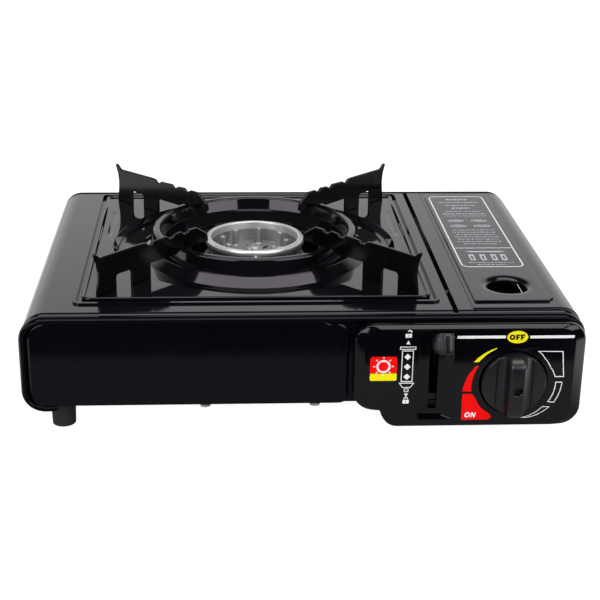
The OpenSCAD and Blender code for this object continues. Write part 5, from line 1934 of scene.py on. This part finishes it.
@dataclass
class Works:
    """The pieces inside the case, and its feet."""

    foot_edge: float = 0.5

    def build(self) -> None:
        """Dresses the inner pieces and the feet."""
        eased(
            Body.CASE,
            # The heat shield, seen through the lid's sight hole, is darkened as painted shade.
            ("partition", "heat_shield", BLACKENED_STEEL_AND_PAINTED_SHADE, 0.15),
            ("valve_body", "regulator_casting", CASTING, 0.5),
            ("regulator_cover", "regulator_cover_plate", ZINC, 0.4),
            ("valve_bracket", "regulator_bracket", ZINC, 0.2),
            ("cover_screws", "regulator_screws", ZINC, 0.15),
            ("valve_seal", "nozzle_seal", RUBBER, 0.3),
        )
        eased(Body.PLUNGER, ("igniter_plunger", "plunger_pin", NATURAL_PLASTIC, 0.3))
        eased(
            Body.CASE,
            ("piezo_igniter", "piezo_block", KNOB_PLASTIC, 0.4),
            ("electrode", "spark_electrode", CERAMIC, 0.3),
            ("electrode_clip", "electrode_holder", ZINC, 0.2),
            ("heat_plate", "heat_transfer_plate", CASTING, 0.2),
            ("base_screws", "tray_screws", ZINC, 0.2),
        )
        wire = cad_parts["ignition_wire"].data.materials
        wire.clear()
        wire.append(SLEEVE.material())
        for corner in ("front_left", "front_right", "back_left", "back_right"):
            foot = "foot_" + corner
            eased(Body.CASE, (foot, "rubber_" + foot, RUBBER, self.foot_edge))


# ---------- studio ----------


@dataclass
class Studio:
    """Camera, floor, lamps and surroundings."""

    place: Point = (-0.04997, -0.85027, 0.38377)
    yaw: float = 0.0629
    pitch: float = 0.3779
    roll: float = 0.0161
    lens: float = 79.5
    sensor: float = 36.0
    floor_half: float = 6.0
    paper: float = 0.30
    paper_under: float = 0.02
    paper_edge: Flat = (-0.250, -0.236)
    paper_dim: float = 0.04
    behind: Flat = (-0.1, 0.15)
    beside: Flat = (0.19, 0.28)
    before: Flat = (-0.30, -0.22)
    mirror_behind: float = 0.6
    mirror_beside: float = 1.7
    backdrop: Flat = (-0.25, 0.25)
    backdrop_top: Flat = (0.45, 0.62)
    room: float = 0.04
    soft: float = 0.3
    aim: Point = (0.0, 0.0, 0.05)
    lamps: tuple[tuple[str, Point, Flat, float, bool], ...] = (
        ("left_box", (-0.82, -0.83, 0.58), (0.95, 0.6), 6.6, True),
        ("right_box", (0.77, -0.83, 0.58), (0.95, 0.6), 6.6, True),
        ("top_box", (0.0, -0.2, 1.5), (1.7, 1.1), 19.0, True),
        ("front_fill", (-0.15, -2.1, 0.55), (1.2, 0.9), 8.0, False),
    )

    def build(self) -> None:
        """Sets the scene up."""
        self._camera()
        self._floor()
        self._world()
        for lamp in self.lamps:
            self._lamp(*lamp)
        bpy.context.scene.view_settings.view_transform = "Standard"

    def _camera(self) -> None:
        """Creates the camera and makes it the scene's own."""
        yaw, pitch, roll = self.yaw, self.pitch, self.roll
        ahead = Vector(
            (math.sin(yaw) * math.cos(pitch), math.cos(yaw) * math.cos(pitch), -math.sin(pitch))
        )
        right = Vector((math.cos(yaw), -math.sin(yaw), 0.0))
        up = right.cross(ahead)
        x_axis = math.cos(roll) * right + math.sin(roll) * up
        y_axis = math.cos(roll) * up - math.sin(roll) * right
        data = bpy.data.cameras.new("stove_camera")
        data.lens = self.lens
        data.sensor_width = self.sensor
        camera = bpy.data.objects.new("stove_camera", data)
        turn = Matrix((x_axis, y_axis, -ahead)).transposed().to_4x4()
        camera.matrix_world = Matrix.Translation(self.place) @ turn
        bpy.context.scene.collection.objects.link(camera)
        bpy.context.scene.camera = camera

    def _floor(self) -> None:
        """A plain pale floor that keeps the stove's shadow."""
        h = self.floor_half
        mesh = bpy.data.meshes.new("studio_floor")
        mesh.from_pydata([(-h, -h, 0), (h, -h, 0), (h, h, 0), (-h, h, 0)], [], [(0, 1, 2, 3)])
        floor = bpy.data.objects.new("studio_floor", mesh)
        bpy.context.scene.collection.objects.link(floor)
        material = bpy.data.materials.new("studio_paper")
        graph = Graph(material)
        depth, side = graph.along("Y", "Object"), abs(graph.along("X", "Object"))
        behind = graph.band(depth, *self.behind)
        beside = graph.band(side, *self.beside) * graph.band(depth, *self.before)
        sheet = graph.band(depth, *self.paper_edge)
        glow = behind * self.mirror_behind + beside * (1.0 - behind) * self.mirror_beside
        seen = graph.ray("Camera") + graph.ray("Transmission")
        strength = seen * (1.0 - sheet * self.paper_dim) + graph.ray("Glossy") * glow
        tone = graph.tint(sheet, (self.paper_under,) * 3, (self.paper,) * 3)
        paper = graph.add("ShaderNodeBsdfDiffuse", None, {"Color": tone})
        white = graph.add("ShaderNodeEmission", None, {"Color": (1.0,) * 4, "Strength": strength})
        both = graph.add("ShaderNodeAddShader", None, {0: paper, 1: white})
        graph.add("ShaderNodeOutputMaterial", None, {"Surface": both})
        mesh.materials.append(material)

    def _world(self) -> None:
        """White surroundings behind the stove and at its sides, and a dark room before it."""
        world = bpy.data.worlds.new("studio_world")
        bpy.context.scene.world = world
        graph = Graph(world)
        depth, height = graph.along("Y", "Generated"), graph.along("Z", "Generated")
        backdrop = graph.band(depth, *self.backdrop)
        backdrop = backdrop * graph.band(height, *self.backdrop_top, 1.0, 0.0)
        mirror, seen = graph.ray("Glossy"), graph.ray("Camera")
        through = graph.ray("Transmission")
        soft = (1.0 - mirror) * (1.0 - seen) * (1.0 - through) * self.soft
        strength = seen + through + mirror * (backdrop * (1.0 - self.room) + self.room) + soft
        inputs = {"Color": (1.0,) * 4, "Strength": strength}
        sky = graph.add("ShaderNodeBackground", None, inputs)
        graph.add("ShaderNodeOutputWorld", None, {"Surface": sky})

    def _lamp(self, name: str, place: Point, size: Flat, power: float, mirrored: bool) -> None:
        """Adds a soft lamp that faces the stove.

        Args:
            name: The lamp's name.
            place: Its place.
            size: Its width and height.
            power: Its power in watts.
            mirrored: True where its panel shows in glossy surfaces.
        """
        data = bpy.data.lights.new(name, "AREA")
        data.shape = "RECTANGLE"
        data.size, data.size_y = size
        data.energy = power
        lamp = bpy.data.objects.new(name, data)
        turn = (Vector(self.aim) - Vector(place)).to_track_quat("-Z", "Y").to_matrix().to_4x4()
        lamp.matrix_world = Matrix.Translation(place) @ turn
        lamp.visible_glossy = mirrored
        bpy.context.scene.collection.objects.link(lamp)


def main() -> None:
    """Builds the studio and each sub-assembly."""
    makers = (Studio, Case, DripPan, PanSupports, Burner, Lid, Panel, Print, Knob, LockLever, Works)
    for maker in makers:
        log.info("building %s", maker.__name__)
        maker().build()


if __name__ == "__main__":
    main()
